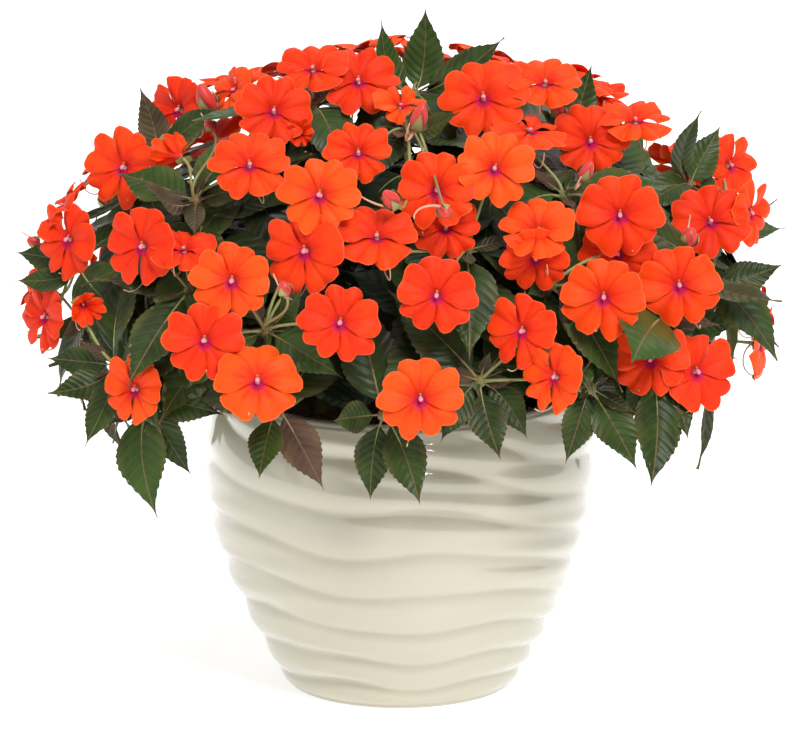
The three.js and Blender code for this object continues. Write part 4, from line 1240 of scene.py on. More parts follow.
def add_crumb(shape, at, size, rng):
    """A chip of bark or a grain of grit: a lumpy, squashed ball turned any way"""
    tone = rng.uniform(0, 1)
    grain = tone > BARK_SHARE
    long_way = unit(rng.normal(size=3))
    other = unit(np.cross(long_way, rng.normal(size=3)))
    third = np.cross(long_way, other)
    spread = (0.55, 0.5, 0.5)
    if not grain:
        spread = (rng.uniform(0.6, 1.1), rng.uniform(0.35, 0.6), rng.uniform(0.18, 0.35))
    turns = (np.arange(6) * math.pi / 3)[:, None]
    spokes = np.cos(turns) * other * spread[1] + np.sin(turns) * third * spread[2]
    rows = []
    for level in np.linspace(-1, 1, 5):
        width = math.sqrt(max(0.02, 1 - level * level))
        bumps = rng.uniform(0.8, 1.15, 6)[:, None]
        rows.append(at + size * (long_way * level * spread[0] + width * bumps * spokes))
    rows = np.array(rows)
    shape.sheet(rows, tone=tone, finish=1, around=True)
    for ring, flip in ((rows[0], True), (rows[-1], False)):
        face = np.arange(6)[None]
        shape.add(ring, [face[:, ::-1] if flip else face], tone=tone, finish=1)


# Leaves

def leaf_outline(share):
    """Half width of the blade along its length, as a share of its greatest"""
    share = np.clip(share, 0, 1)
    blade = np.clip(share * (1 + LEAF_DRAWN_TIP), 0, 1)
    shape = blade ** LEAF_SWELL * (1 - blade) ** LEAF_TAPER
    best = LEAF_SWELL / (LEAF_SWELL + LEAF_TAPER)
    wide = shape / (best ** LEAF_SWELL * (1 - best) ** LEAF_TAPER)
    return np.maximum(wide, LEAF_TIP_WIDE * smooth(1 - share, 0.0, 2.5 * LEAF_DRAWN_TIP))


def add_leaf(shape, curve, out, tone, rng, rows=LEAF_ROWS, columns=LEAF_COLUMNS, wide=BLADE_WIDE):
    """A folded, arched blade with teeth, raised between its side veins, on a short stalk"""
    length = float(step_lengths(quadratic(*curve, np.linspace(0, 1, 12))).sum())
    size = length / LEAF_LENGTH
    share = np.linspace(0, 1, rows + 1)
    along = LEAF_BLADE_START + (1 - LEAF_BLADE_START) * share
    middle = quadratic(*curve, along)
    run = quadratic_run(*curve, along)
    top = unit(np.cross(out, run))
    width = leaf_outline(share * 0.985 + 0.008) * (wide * length)
    across = np.linspace(-1, 1, 2 * columns + 1)
    tooth = np.where(np.arange(rows + 1) % 2 == 1, 1.0, -1.0) * smooth(width, 2 * size, 9 * size)
    edge = np.abs(across) ** 6
    reach = width[:, None] * across * (1 + TOOTH_WIDE * tooth[:, None] * edge)
    forward = (TOOTH_FORWARD * tooth / rows * length)[:, None] * edge
    phases = rng.uniform(0, 2 * math.pi, 4)
    side = np.abs(reach) / length
    veins = (share[:, None] - VEIN_SLANT * side - VEIN_BEND * side ** 2) * VEINS
    hump = np.abs(np.sin(math.pi * veins)) ** 0.7
    inner = smooth(np.abs(across), 0.0, 0.3) * (1 - smooth(np.abs(across), 0.75, 1.0))
    fold = LEAF_FOLD * np.abs(reach) - LEAF_CUP * reach ** 2 / size
    wave = LEAF_WAVE * size * np.sin(share[:, None] * 11 + phases[0] + np.sign(across) * 1.1) * across ** 2
    twist = rng.uniform(-LEAF_TWIST, LEAF_TWIST) * reach * share[:, None]
    height = fold + wave * smooth(share, 0.05, 0.3)[:, None] + twist + LEAF_HUMP * size * (hump * inner)
    sheet = LEAF_SHEET / 2 * (1 - across ** 4)
    maps = np.stack([0.5 + reach / length, np.broadcast_to(share[:, None], reach.shape)], -1)
    place = middle[:, None] + out * reach[..., None] + run[:, None] * forward[..., None]
    upper = place + top[:, None] * (height + sheet)[..., None]
    under = place + top[:, None] * (height - sheet)[..., None]
    # How deep each point lies inside the crown, for the leaf's painted shade
    inside = painted_shade_depth(place)
    shape.sheet(upper, maps, tone, inside, 0)
    shape.sheet(under, maps, tone, inside, 1, flip=True)
    shares = np.linspace(0, LEAF_RIB_END, 9)
    lift = unit(np.cross(out, quadratic_run(*curve, shares)))
    sink = np.linspace(0, 0.5, 9)[:, None] * size
    radii = np.linspace(1.5, 0.35, 9) * max(size, 0.6)
    shape.tube(quadratic(*curve, shares) - lift * sink, radii, 5, tone=0.5, finish=2)


def painted_shade_depth(points):
    """Painted shade of the leaves: from 0 near the crown's surface to 1 well inside it"""
    return 1 - smooth(crown_share(points), SHADE_FROM, SHADE_TO)


def leaf_curve(whorl, side, tip):
    """The curve of a leaf of the solids, and the way that its right half points"""
    root = whorl.root(side)
    length = np.linalg.norm(tip - root)
    facing = whorl.spoke(whorl.leaves[side].turn)
    bend = root + facing * LEAF_RUN * length + whorl.axis * LEAF_ARCH * length
    out = unit(np.cross(facing, whorl.axis))
    if whorl.leaves[side].placed:
        run = unit(tip - root)
        top = unit(unit(np.cross(out, run)) - AWAY * FACE_THE_FRONT)
        out = unit(np.cross(run, top))
    return (root, bend, tip), out


class Room:
    """What the added leaves keep away from: blooms, and the leaves that are there already"""

    def __init__(self, blooms):
        self.centres = np.array([bloom.centre for bloom in blooms])
        self.faces = np.array([bloom.face for bloom in blooms])
        self.radii = np.array([bloom.radius for bloom in blooms])
        self.taken = []

    def hides_bloom(self, points):
        reach = points[:, None] - self.centres
        front = (reach * self.faces).sum(-1)
        aside = np.linalg.norm(reach - front[..., None] * self.faces, axis=-1)
        near = (front > -BLOOM_CLEARANCE) & (front < BLOOM_VIEW)
        return bool((near & (aside < self.radii * BLOOM_ROOM)).any())

    def outside(self, points):
        """Whether points lie out of the crown, too low, or where the pot's lip is"""
        x, y, z = points.T
        ring = np.hypot(x, y)
        lowest = np.where(np.abs(x) < BELLY_RADIUS + POT_ROOM, BARE_POT, BARE_SIDE)
        bare = (y < 0) & (points @ UP < lowest)
        by_the_lip = (z < POT_HEIGHT + LIP_ROOM) & (z > SOIL_TOP + POT_ROOM)
        by_the_lip = by_the_lip & (ring > SOIL_RING) & (ring < BELLY_RADIUS + POT_ROOM)
        return bool(((crown_share(points) > CROWN_EDGE) | bare | (z < LOWEST_LEAF) | by_the_lip).any())

    def clear(self, points):
        if not self.taken:
            return 99.0
        taken = np.vstack(self.taken)
        return float(np.linalg.norm(points[:, None] - taken, axis=-1).min())

    def take(self, points):
        self.taken.append(points)


def leaf_marks(curve, out, wide=LEAF_WIDE):
    """A few points over a leaf, to keep others clear of it"""
    shares = np.array([0.3, 0.5, 0.7, 0.9])
    middle = quadratic(*curve, shares)
    length = np.linalg.norm(curve[2] - curve[0])
    half = (leaf_outline(shares) * wide * length)[:, None] * 0.7
    return np.vstack([middle, middle + out * half, middle - out * half, curve[2][None]])


def free_leaf(whorl, at, turn, length, droops, room, wide=LEAF_WIDE, least=LEAF_CLEAR):
    """The clearest way for an added leaf, or nothing where there is no room"""
    facing = whorl.spoke(turn)
    out = unit(np.cross(facing, whorl.axis))
    best = None
    best_clear = least
    for size in LEAF_SIZES:
        for droop in droops:
            tip = at + (facing * cosine(droop) + whorl.axis * sine(droop)) * length * size
            bend = at + (facing * LEAF_RUN + whorl.axis * LEAF_ARCH) * length * size
            curve = (at, bend, tip)
            marks = leaf_marks(curve, out, wide)
            if room.outside(marks) or room.hides_bloom(marks):
                continue
            clear = room.clear(marks[1:])
            if clear > best_clear:
                best, best_clear = (curve, out, marks), clear
        if best is not None:
            room.take(best[2])
            return best[0], best[1]
    return None


def make_leaves(look):
    plan = plant_plan()
    finishes = [leaf_finish(look), leaf_under_finish(look), stem_finish(look, "leaf stalk", True)]
    room = Room([bloom for members in plan["blooms"] for bloom in members] + plan["extra"])
    rng = np.random.default_rng(FILL_SEED)
    shapes = [Shape() for _ in plan["stems"]]
    whorls = [(whorl, shape) for stem, shape in zip(plan["stems"], shapes) for whorl in stem["whorls"]]
    for whorl, shape in whorls:
        mood = rng.uniform(0, 0.3)
        for side, leaf in enumerate(whorl.leaves):
            if leaf.tip is not None:
                curve, out = leaf_curve(whorl, side, leaf.tip)
                add_leaf(shape, curve, out, leaf_tone(leaf, mood, rng), rng)
                room.take(leaf_marks(curve, out))
    for across, up, proud, tone, whorl_across, whorl_up in FRONT_LEAVES:
        tip = from_front(across, up, crown_depth(across, up) - proud)
        source = from_front(whorl_across, whorl_up, crown_depth(whorl_across, whorl_up) + BACK_WHORL_DEPTH)
        whorl, shape = min(whorls, key=lambda pair: np.linalg.norm(pair[0].at - source))
        bend = (whorl.at + tip) / 2 - AWAY * 0.3 * np.linalg.norm(tip - whorl.at) + UP * 14
        out = unit(np.cross(tip - whorl.at, -AWAY))
        add_leaf(shape, (whorl.at, bend, tip), out, tone, rng)
    for whorl, shape in whorls:
        add_lower_leaves(whorl, shape, room, rng)
    for whorl, shape in whorls:
        add_inner_leaves(whorl, shape, room, rng)
    for whorl, shape in whorls:
        add_young_leaves(whorl, shape, room, rng)
    for stem, shape in zip(plan["stems"], shapes):
        number = stem["name"].rsplit("_", 1)[1]
        seat(shape.mesh(f"leaves_{number}", finishes), "leaf", stem["name"])


def leaf_tone(leaf, mood, rng):
    """How far a leaf has turned from green to bronze"""
    tone = mood + rng.uniform(0, 0.25)
    tip = leaf.tip
    for across, up, bronze in BRONZE_LEAVES:
        seen = np.array([np.dot(tip, RIGHT), np.dot(tip, UP)])
        if np.linalg.norm(seen - (across, up)) < 14:
            tone = bronze
    return tone


def add_lower_leaves(whorl, shape, room, rng):
    """A second tier of leaves on the branch, a little under the whorl and between its leaves"""
    share = rng.uniform(0.7, 0.85)
    at = cubic(whorl.branch, share)
    start = rng.uniform(0, 90)
    for place in range(LOWER_COUNT):
        turn = start + 360 / LOWER_COUNT * place + rng.uniform(-12, 12)
        root = at + whorl.spoke(turn) * 3
        found = free_leaf(whorl, root, turn, LOWER_LEAF * rng.uniform(0.85, 1.1), LOWER_DROOPS, room)
        if found:
            add_leaf(shape, *found, rng.uniform(0.0, 0.35), rng, rows=18, columns=3)


def add_inner_leaves(whorl, shape, room, rng):
    """Leaves along the branch inside the crown, which close the plant from side to side"""
    for share in INNER_TIERS:
        at = cubic(whorl.branch, share + rng.uniform(-0.06, 0.06))
        start = rng.uniform(0, 72)
        for place in range(INNER_COUNT):
            turn = start + 360 / INNER_COUNT * place + rng.uniform(-14, 14)
            root = at + whorl.spoke(turn) * 3
            length = INNER_LEAF * rng.uniform(0.8, 1.15)
            found = free_leaf(whorl, root, turn, length, INNER_DROOPS, room, INNER_WIDE, INNER_CLEAR)
            if found:
                add_leaf(shape, *found, rng.uniform(0.0, 0.3), rng, rows=14, columns=2, wide=INNER_WIDE)


def add_young_leaves(whorl, shape, room, rng):
    """Small bronze leaves that stand up from the middle of the whorl"""
    start = rng.uniform(0, 90)
    for place in range(YOUNG_COUNT):
        turn = start + 360 / YOUNG_COUNT * place + rng.uniform(-15, 15)
        root = whorl.at + whorl.spoke(turn) * 2 + whorl.axis * 2
        length = YOUNG_LEAF * rng.uniform(0.55, 1.15)
        found = free_leaf(whorl, root, turn, length, YOUNG_RISES, room, YOUNG_WIDE)
        if found:
            add_leaf(shape, *found, rng.uniform(0.45, 1.0), rng, rows=10, columns=2, wide=YOUNG_WIDE)


# Stems and stalks

def make_stems(look):
    plan = plant_plan()
    finishes = [stem_finish(look, "leafy stem", False), stem_finish(look, "bloom stalk", True)]
    rng = np.random.default_rng(FILL_SEED + 1)
    for index, stem in enumerate(plan["stems"]):
        shape = Shape()
        root, above, lean, fork = main_stem_points(index)
        shares = np.linspace(0, 1, 18)
        swell = 1 + 0.12 * np.cos(shares * 4 * math.pi) ** 8
        shape.tube(cubic((root, above, lean, fork), shares), STEM_RADIUS * 0.92 * swell, 12, tone=0.35)
        for whorl in stem["whorls"]:
            shares = np.linspace(0, 1, 12)
            radii = np.linspace(1.25, 0.85, 12) * BRANCH_RADIUS
            shape.tube(cubic(whorl.branch, shares), radii, 9, tone=0.6)
            shape.ball(whorl.at, whorl.axis, 4.2, HUB_RADIUS * 0.9, tone=0.5)
        for points in stem["stalks"]:
            shares = np.linspace(0, 1, 14)
            radii = PEDICEL_RADIUS * (0.75 + 0.35 * np.abs(2 * shares - 1) ** 3)
            shape.tube(cubic(points, shares), radii, 7, tone=rng.uniform(0, 0.6), finish=1)
        number = stem["name"].rsplit("_", 1)[1]
        seat(shape.mesh(f"stems_{number}", finishes), "leaf", stem["name"])


# Blooms

def ruffle(angle, reach, phases):
    """Gentle waves of a bloom's petals, alike where one petal lies over the next"""
    turn = np.radians(angle)
    waves = 0.0
    for high, count, phase in zip((0.55, 0.35, 0.2), (5, 9, 16), phases):
        waves = waves + high * np.sin(count * turn + phase)
    return waves * reach ** 3


def petal_sheets(shape, bloom, petal, phases, tone, rng):
    """One petal, its two lobes cushioned on either side of a crease and notched at the rim"""
    rows, columns = PETAL_GRID
    turn, half, notch, tilt = PETAL_FORMS[petal]
    length = bloom.radius * PETAL_LENGTHS[petal] * rng.uniform(0.95, 1.03)
    middle = PETAL_STEP * petal + turn + rng.uniform(-2.5, 2.5)
    half = half * rng.uniform(0.95, 1.06)
    across = np.linspace(-1, 1, columns)
    across = np.sign(across) * np.abs(across) ** 1.15
    share = np.linspace(0, 1, rows)[:, None] ** 0.85
    lobes = 1 + rng.uniform(-0.05, 0.05) * np.sign(across) * smooth(np.abs(across), 0.05, 0.5)
    cut = notch * rng.uniform(0.7, 1.25)
    cut = cut * np.exp(-(np.abs(across + rng.uniform(-0.05, 0.05)) / 0.2) ** 1.25)
    shoulder = PETAL_SHOULDER * smooth(np.abs(across), 0.45, 1.1) ** 1.5
    rim = (1.0 - cut - shoulder) * lobes + 0.014 * np.sin(across * 9 + phases[3])
    rim = rim + 0.008 * np.sin(across * 17 + phases[0])
    reach = (PETAL_ROOT + (rim - PETAL_ROOT) * share) * length
    spread = half * (PETAL_BASE_SHARE + (1 - PETAL_BASE_SHARE) * smooth(share, 0.1, 0.7))
    angle = middle + spread * across
    lift = PETAL_EDGE_LIFT * np.where(across < 0, *PETAL_EDGES[petal])
    lift = lift * smooth(np.abs(across), 0.45, 0.9) * smooth(share, 0.12, 0.5)
    crease = -PETAL_CREASE * np.exp(-(np.abs(across) / 0.13) ** 1.3) * smooth(share, 0.1, 0.6)
    pillow = PETAL_PILLOW * np.sin(math.pi * np.clip(np.abs(across), 0, 1)) * share ** 1.3
    dip = -PETAL_DIP * (1 - smooth(share, 0.0, 0.22))
    curl = -rng.uniform(0.8, 3.4) * share ** 4
    flare = rng.uniform(-1.3, 1.3) * share ** 3 * np.sin(across * 3.4 + phases[1]) * (1 - across ** 4)
    swing = math.tan(math.radians(tilt + rng.uniform(-1.2, 1.2))) * reach
    waves = PETAL_WAVES * ruffle(angle, share, phases)
    camber = PETAL_CAMBER * np.sin(math.pi * share)
    height = camber + lift + crease + pillow + dip + curl + flare + swing + waves
    sheet = PETAL_SHEET / 2 * (1 - share ** 6) * (1 - across ** 6)
    maps = np.stack(np.broadcast_arrays(0.5 + across / 2, share), -1)
    depth = reach / bloom.radius * BLOOM_RADIUS
    low = -np.cos(np.radians(angle))
    shape.sheet(bloom.at(angle, reach, height + sheet), maps, tone, depth, 0, flip=True, low=low)
    shape.sheet(bloom.at(angle, reach, height - sheet), maps, tone, depth, 0, low=low)


def add_heart(shape, bloom, rng):
    """The small column at the eye: a pale hood over the lower petals, and the green-brown knob above it"""
    size = 0.86 * bloom.radius / BLOOM_RADIUS
    lean = unit(bloom.face * 0.75 - bloom.up * 0.75 + bloom.right * rng.uniform(-0.2, 0.2))
    base = bloom.centre + bloom.face * 0.2 * size + bloom.up * 2.6 * size
    shares = np.linspace(0, 1, 9)
    radii = size * np.array([1.0, 1.45, 1.6, 1.55, 1.7, 1.95, 1.95, 1.4, 0.3])
    shape.tube(base + np.outer(shares, lean) * 6.6 * size, radii, 10, finish=1, reach=np.repeat(shares, 10))
    knob = base + bloom.face * 1.5 * size + bloom.up * 0.4 * size
    rise = unit(bloom.up + bloom.face * 0.5)
    radii = size * np.array([0.5, 0.9, 1.0, 1.05, 1.0, 0.9, 0.7, 0.4, 0.1])
    shape.tube(knob + np.outer(shares, rise) * 1.7 * size, radii, 7, finish=3)


def add_spur(shape, bloom, rng):
    """The thin curved spur that hangs behind a bloom and hooks forward under it"""
    down = unit(-bloom.up - Z * 0.4 + bloom.right * rng.uniform(-0.7, 0.7))
    root = bloom.centre - bloom.face * 1.8
    length = SPUR_LENGTH * rng.uniform(0.7, 1.1) * bloom.radius / BLOOM_RADIUS
    hook = ((0, 0), (-0.34, 0), (-0.38, 0.8), (0.16, 0.62))
    points = [root + (bloom.face * ahead + down * under) * length for ahead, under in hook]
    shares = np.linspace(0, 1, 14)
    radii = SPUR_RADIUS * (2.2 - 1.2 * smooth(shares, 0, 0.25)) * (1 - 0.35 * shares)
    shape.tube(cubic(points, shares), radii, 6, finish=2)


def add_sepals(shape, bloom):
    """Two small green sepals where the stalk meets the bloom"""
    for way in (-1, 1):
        out = bloom.right * way
        root = bloom.centre - bloom.face * 2.2
        tip = root + out * 8 - bloom.face * 1.0
        curve = (root, root + out * 4 - bloom.face * 2.5, tip)
        shares = np.linspace(0, 1, 6)
        middle = quadratic(*curve, shares)
        width = 3.0 * np.sin(math.pi * (0.12 + 0.88 * shares)) + 0.1
        edge = np.array([-1, 0, 1])
        grid = middle[:, None] + bloom.up * (width[:, None] * edge)[..., None]
        shape.sheet(grid + bloom.face * 0.2, finish=3, tone=0.6)
        shape.sheet(grid - bloom.face * 0.2, finish=3, tone=0.6, flip=True)


def make_blooms(look):
    plan = plant_plan()
    finishes = [petal_finish(look), heart_finish(look), spur_finish(look), tip_finish(look)]
    rng = np.random.default_rng(FILL_SEED + 2)
    for index, members in enumerate(plan["blooms"] + [plan["extra"]]):
        shape = Shape()
        for bloom in members:
            phases = rng.uniform(0, 2 * math.pi, 4)
            mood = rng.uniform(0, 0.8)
            for petal in range(5):
                petal_sheets(shape, bloom, petal, phases, mood + rng.uniform(0, 0.2), rng)
            add_heart(shape, bloom, rng)
            add_spur(shape, bloom, rng)
            add_sepals(shape, bloom)
        if members is plan["extra"]:
            seat(shape.mesh("petals_of_the_back", finishes), "petal")
        else:
            seat(shape.mesh(f"petals_{index + 1:02d}", finishes), "petal", f"bloom_{index + 1:02d}")


# Buds

def bud_frames(plan):
    """Each bud's place and way, and the whorl that its stalk comes from"""
    whorls = [(whorl, stem) for stem in plan["stems"] for whorl in stem["whorls"]]
    frames = []
    for across, up, proud, lean, size, kind, source in BUDS:
        at = from_front(across, up, crown_depth(across, up) - proud)
        way = unit(RIGHT * sine(lean) + UP * cosine(lean) - AWAY * (1.3 if source else 0.35))
        if source:
            source = (*source, crown_depth(*source) + BACK_WHORL_DEPTH)
        frames.append((at, way, size, kind, source))
    for height, bearing in BACK_BUDS:
        at = crown_point(height, bearing)
        frames.append((at, unit(crown_normal(at) + Z * 0.8), 1.0, "round", None))
    placed = []
    for at, way, size, kind, source in frames:
        start = at if source is None else from_front(*source)
        whorl, _ = min(whorls, key=lambda pair: np.linalg.norm(pair[0].at - start))
        placed.append((at, way, size, kind, whorl))
    return placed


def add_bud(shape, at, way, size, kind, rng):
    """One bud: folded petals wound round it, three sepals under it and its spur"""
    aside = unit(np.cross(way, Z) if abs(way[2]) < 0.95 else np.cross(way, RIGHT))
    half_length = BUD_LENGTHS[kind] * size
    half_width = BUD_WIDTH * size
    angle = np.linspace(0.02, math.pi - 0.02, 15)[:, None]
    turn = turns_round(18)
    other = np.cross(way, aside)
    swirl = turn + (angle / math.pi) * (1.6 if kind == "round" else 2.6)
    folds = 1 + 0.09 * np.abs(np.sin(swirl * 1.5)) * np.sin(angle)
    egg = np.sin(angle) ** (0.9 if kind == "round" else 1.25) * (1 + 0.18 * np.cos(angle))
    radius = half_width * egg * folds
    rise = -np.cos(angle) * half_length
    spokes = np.cos(turn)[:, None] * aside + np.sin(turn)[:, None] * other
    grid = at + rise[..., None] * way + radius[..., None] * spokes
    maps = np.stack([swirl / (2 * math.pi), np.broadcast_to(angle / math.pi, swirl.shape)], -1)
    shape.sheet(grid, maps, rng.uniform(0, 1), 20.0, 0, around=True)
    base = at - way * half_length * 0.9
    for place in range(3):
        out = aside * cosine(120 * place + 20) + other * sine(120 * place + 20)
        bend = base + out * half_width * 1.7 + way * 1.5
        shares = np.linspace(0, 1, 7)
        middle = quadratic(base, bend, base + out * half_width * 0.95 + way * half_length * 1.3, shares)
        over = unit(np.cross(way, out))
        width = 4.2 * size * np.sin(math.pi * (0.1 + 0.9 * shares)) + 0.1
        sheet = middle[:, None] + over * (width[:, None] * np.array([-1, 0, 1]))[..., None]
        sheet[:, 1] += out * 0.5
        shape.sheet(sheet + out * 0.25, finish=1, tone=0.2)
        shape.sheet(sheet - out * 0.25, finish=1, tone=0.2, flip=True)
    length = SPUR_LENGTH * 0.8 * size
    hook = ((0, 0), (0.2, -0.25), (0.7, -0.1), (0.75, 0.35))
    points = [base + (aside * sideways + way * ahead) * length for sideways, ahead in hook]
    shares = np.linspace(0, 1, 12)
    shape.tube(cubic(points, shares), SPUR_RADIUS * (1.8 - 1.1 * shares), 6, finish=2)


def make_buds(bloom_look, leaf_look):
    plan = plant_plan()
    finishes = [bud_finish(bloom_look), stem_finish(leaf_look, "bud sepal", True), spur_finish(bloom_look)]
    rng = np.random.default_rng(FILL_SEED + 3)
    shape = Shape()
    for at, way, size, kind, whorl in bud_frames(plan):
        add_bud(shape, at, way, size, kind, rng)
        start = whorl.at + whorl.axis * 1.5
        end = at - way * (6.5 if kind == "round" else 10.5) * size
        length = np.linalg.norm(end - start)
        points = (start, start + whorl.axis * 0.35 * length, end - way * 0.35 * length, end)
        shape.tube(cubic(points, np.linspace(0, 1, 14)), np.linspace(1.3, 1.0, 14), 7, tone=0.3, finish=1)
    seat(shape.mesh("buds", finishes), "petal")


# Floor, light and camera

def make_floor(look):
    data = bpy.data.meshes.new("studio_floor")
    half = FLOOR_HALF
    corners = [(-half, -half, 0), (half, -half, 0), (half, half, 0), (-half, half, 0)]
    data.from_pydata(corners, [], [(0, 1, 2, 3)])
    finish = Finish("pale floor")
    grain = finish.noise(finish.place(), 2.0, 3)
    base = finish.mix(finish.ramp(grain, 0.3, 0.7, 0.0, 0.25), look.floor, look.floor_shade)
    data.materials.append(finish.surface(
        Base_Color=base, Roughness=0.9, Specular_IOR_Level=0.1, Emission_Color=look.floor,
        Emission_Strength=look.floor_glow))
    floor = bpy.data.objects.new("studio_floor", data)
    bpy.context.scene.collection.objects.link(floor)


def add_light(name, bearing, height, softness, power):
    """A broad, far lamp, the same all over the floor"""
    data = bpy.data.lights.new(name, "SUN")
    data.angle = math.radians(softness)
    data.energy = power
    light = bpy.data.objects.new(name, data)
    level = cosine(height)
    way = np.array([level * sine(bearing), -level * cosine(bearing), sine(height)])
    light.location = way * 3
    light.rotation_mode = "QUATERNION"
    light.rotation_quaternion = (Vector(-way)).to_track_quat("-Z", "Y")
    bpy.context.scene.collection.objects.link(light)


def make_lights(look):
    for name, bearing, height, softness, power in LAMPS:
        add_light(name, bearing, height, softness, power * look.brightness)
    world = bpy.data.worlds.new("studio")
    world.use_nodes = True
    background = world.node_tree.nodes["Background"]
    background.inputs["Color"].default_value = (*look.backdrop, 1)
    background.inputs["Strength"].default_value = look.backdrop_strength
    bpy.context.scene.world = world
    bpy.context.scene.view_settings.view_transform = "Standard"


def make_camera(look):
    """A long lens looking slightly down, so that the foot of the pot is where the photograph has it"""
    data = bpy.data.cameras.new("camera")
    data.sensor_width = 36.0
    wide = PHOTO_WIDE * PHOTO_MM_PER_PIXEL * MM
    data.lens = data.sensor_width * look.distance / wide
    data.clip_end = 100.0
    rise = (PHOTO_FOOT_ROW - PHOTO_HIGH / 2) * PHOTO_MM_PER_PIXEL * MM
    camera = bpy.data.objects.new("camera", data)
    camera.location = UP * rise - AWAY * look.distance
    camera.rotation_mode = "QUATERNION"
    camera.rotation_quaternion = Vector(AWAY).to_track_quat("-Z", "Y")
    bpy.context.scene.collection.objects.link(camera)
    bpy.context.scene.camera = camera


# The add-on

def colour(name, description, default):
    return FloatVectorProperty(
        name=name, description=description, default=default, subtype="COLOR", min=0, max=1)


def amount(name, description, default, most, least=0):
    return FloatProperty(name=name, description=description, default=default, min=least, max=most)


class PotLook(PropertyGroup):
    glaze: colour("Glaze", "Colour of the glaze on the bands", (0.535, 0.5, 0.382))
    glaze_light: colour("Thick glaze", "Colour where the glaze lies thick", (0.63, 0.6, 0.495))
    # Darker colour of the painted shade in the grooves, also used for the specks
    groove_shade: colour("Groove", "Colour in the grooves between the bands", (0.435, 0.4, 0.295))
    roughness: amount("Roughness", "How dull the glaze is", 0.14, 1)


class SoilLook(PropertyGroup):
    dark: colour("Wet soil", "Colour of the damp soil", (0.018, 0.012, 0.008))
    light: colour("Bark", "Colour of the bark chips", (0.11, 0.062, 0.034))
    grit: colour("Grit", "Colour of the pale grains", (0.62, 0.58, 0.50))
    crumbs: IntProperty(
        name="Crumbs", description="Number of chips and grains", default=700, min=0, max=3000)


class LeafLook(PropertyGroup):
    green: colour("Green", "Colour of a grown leaf", (0.043, 0.068, 0.013))
    green_dark: colour("Deep green", "Colour between the veins", (0.016, 0.027, 0.006))
    bronze: colour("Bronze", "Colour of a young leaf", (0.13, 0.075, 0.045))
    bronze_dark: colour("Deep bronze", "Dark colour of a young leaf", (0.06, 0.03, 0.022))
    vein: colour("Vein", "Colour of the side veins", (0.13, 0.17, 0.07))
    rib: colour("Midrib", "Colour of the midrib", (0.20, 0.12, 0.06))
    green_light: colour("Light green", "Colour of the greenest leaves", (0.075, 0.16, 0.028))
    # Colour of the painted shade on leaves well inside the plant
    shade_green: colour("Shaded green", "Colour of the leaves well inside the plant", (0.008, 0.013, 0.006))
    under_green: colour("Under side", "Colour of the under side", (0.11, 0.135, 0.065))
    under_red: colour("Red under side", "Colour of a flushed under side", (0.20, 0.085, 0.06))
    under_rib: colour("Under rib", "Colour of the ribs underneath", (0.35, 0.24, 0.15))
    red: colour("Red stem", "Colour of the flushed side of a stem", (0.20, 0.05, 0.035))
    stem: colour("Green stem", "Colour of the green side of a stem", (0.17, 0.20, 0.07))
    stalk: colour("Stalk", "Colour of a bloom's stalk", (0.30, 0.33, 0.12))


class BloomLook(PropertyGroup):
    petal: colour("Petal", "Main orange of the petals", (0.95, 0.052, 0.003))
    # Deeper red of the petals and buds, also used for the painted shade in the petals' creases and throat
    petal_deep_and_shade: colour("Deep petal", "Redder orange in the petal's hollows", (0.66, 0.016, 0.004))
    petal_warm: colour("Warm petal", "Lighter orange of some blooms", (1.0, 0.105, 0.008))
    # Paler orange of the painted highlight along the petal rims
    petal_rim_highlight: colour("Petal rim", "Paler orange along the rim", (1.0, 0.17, 0.06))
    eye: colour("Eye", "Magenta of the eye", (0.42, 0.006, 0.085))
    sheen: colour("Petal sheen", "Colour of the velvety shine", (1.0, 0.55, 0.42))
    heart: colour("Heart", "Colour of the small column", (0.74, 0.26, 0.30))
    sepal: colour("Sepal", "Colour of the small sepals", (0.22, 0.24, 0.09))
    heart_tip: colour("Heart tip", "Colour of the column's tip", (0.32, 0.26, 0.08))
    spur_base: colour("Spur", "Colour of the spur near the bloom", (0.75, 0.30, 0.22))
    spur_tip: colour("Spur tip", "Colour of the spur's end", (0.62, 0.42, 0.24))
    bud: colour("Bud", "Colour of a bud", (0.62, 0.035, 0.022))
    # Darker red of the painted shade in a bud's folds
    bud_fold_shade: colour("Deep bud", "Colour of a bud's folds", (0.28, 0.012, 0.012))


class StageLook(PropertyGroup):
    distance: amount("Camera distance", "Metres from the camera to the pot", 10.0, 20, 1)
    brightness: amount("Brightness", "Strength of the lamps", 1.0, 10)
    backdrop: colour("Backdrop", "Colour of the surroundings", (1.0, 1.0, 1.0))
    backdrop_strength: amount("Backdrop strength", "Brightness of the surroundings", 0.32, 10)
    floor: colour("Floor", "Colour of the floor", (0.72, 0.72, 0.72))
    floor_shade: colour("Floor shade", "Second colour of the floor", (0.70, 0.70, 0.70))
    floor_glow: amount("Floor glow", "Light from the floor", 0.84, 2)


class IMPATIENS_OT_pot(Operator):
    """Make the glazed pot with its wavy bands"""
    bl_idname = "impatiens.pot"
    bl_label = "Pot"

    def execute(self, context):
        make_pot(context.scene.impatiens_pot)
        return {"FINISHED"}


class IMPATIENS_OT_soil(Operator):
    """Make the potting soil with its bark and grit"""
    bl_idname = "impatiens.soil"
    bl_label = "Soil"

    def execute(self, context):
        make_soil(context.scene.impatiens_soil)
        return {"FINISHED"}


class IMPATIENS_OT_stems(Operator):
    """Make the stems, their branches and the stalks of the blooms"""
    bl_idname = "impatiens.stems"
    bl_label = "Stems"

    def execute(self, context):
        make_stems(context.scene.impatiens_leaf)
        return {"FINISHED"}


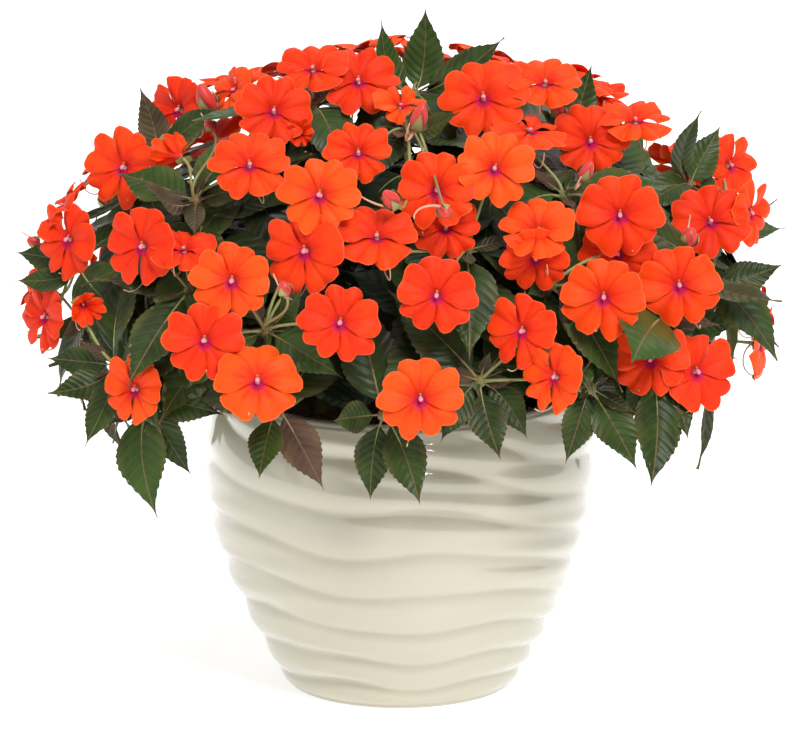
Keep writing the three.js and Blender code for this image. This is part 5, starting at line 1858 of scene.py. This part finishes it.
class IMPATIENS_OT_leaves(Operator):
    """Make the leaves of every stem"""
    bl_idname = "impatiens.leaves"
    bl_label = "Leaves"

    def execute(self, context):
        make_leaves(context.scene.impatiens_leaf)
        return {"FINISHED"}


class IMPATIENS_OT_blooms(Operator):
    """Make the blooms with their hearts and spurs"""
    bl_idname = "impatiens.blooms"
    bl_label = "Blooms"

    def execute(self, context):
        make_blooms(context.scene.impatiens_bloom)
        return {"FINISHED"}


class IMPATIENS_OT_buds(Operator):
    """Make the buds and their stalks"""
    bl_idname = "impatiens.buds"
    bl_label = "Buds"

    def execute(self, context):
        make_buds(context.scene.impatiens_bloom, context.scene.impatiens_leaf)
        return {"FINISHED"}


class IMPATIENS_OT_stage(Operator):
    """Make the floor, the lights and the camera"""
    bl_idname = "impatiens.stage"
    bl_label = "Stage"

    def execute(self, context):
        look = context.scene.impatiens_stage
        make_floor(look)
        make_lights(look)
        make_camera(look)
        return {"FINISHED"}


LOOKS = {
    "impatiens_pot": PotLook,
    "impatiens_soil": SoilLook,
    "impatiens_leaf": LeafLook,
    "impatiens_bloom": BloomLook,
    "impatiens_stage": StageLook,
}
OPERATORS = (
    IMPATIENS_OT_pot,
    IMPATIENS_OT_soil,
    IMPATIENS_OT_stems,
    IMPATIENS_OT_leaves,
    IMPATIENS_OT_blooms,
    IMPATIENS_OT_buds,
    IMPATIENS_OT_stage,
)


class IMPATIENS_PT_panel(Panel):
    """Buttons for each group of pieces, and the sizes and colours behind them"""
    bl_idname = "IMPATIENS_PT_panel"
    bl_label = "Impatiens"
    bl_space_type = "VIEW_3D"
    bl_region_type = "UI"
    bl_category = "Impatiens"

    def draw(self, context):
        for operator in OPERATORS:
            self.layout.operator(operator.bl_idname)
        for key, look in LOOKS.items():
            box = self.layout.box()
            group = getattr(context.scene, key)
            for name in look.__annotations__:
                box.prop(group, name)


def register():
    for look in LOOKS.values():
        bpy.utils.register_class(look)
    for key, look in LOOKS.items():
        setattr(bpy.types.Scene, key, PointerProperty(type=look))
    for operator in OPERATORS:
        bpy.utils.register_class(operator)
    bpy.utils.register_class(IMPATIENS_PT_panel)


def unregister():
    bpy.utils.unregister_class(IMPATIENS_PT_panel)
    for operator in reversed(OPERATORS):
        bpy.utils.unregister_class(operator)
    for key in LOOKS:
        delattr(bpy.types.Scene, key)
    for look in reversed(LOOKS.values()):
        bpy.utils.unregister_class(look)


def main():
    register()
    bpy.ops.impatiens.stage()
    bpy.ops.impatiens.pot()
    bpy.ops.impatiens.soil()
    bpy.ops.impatiens.stems()
    bpy.ops.impatiens.leaves()
    bpy.ops.impatiens.blooms()
    bpy.ops.impatiens.buds()


if __name__ == "__main__":
    main()
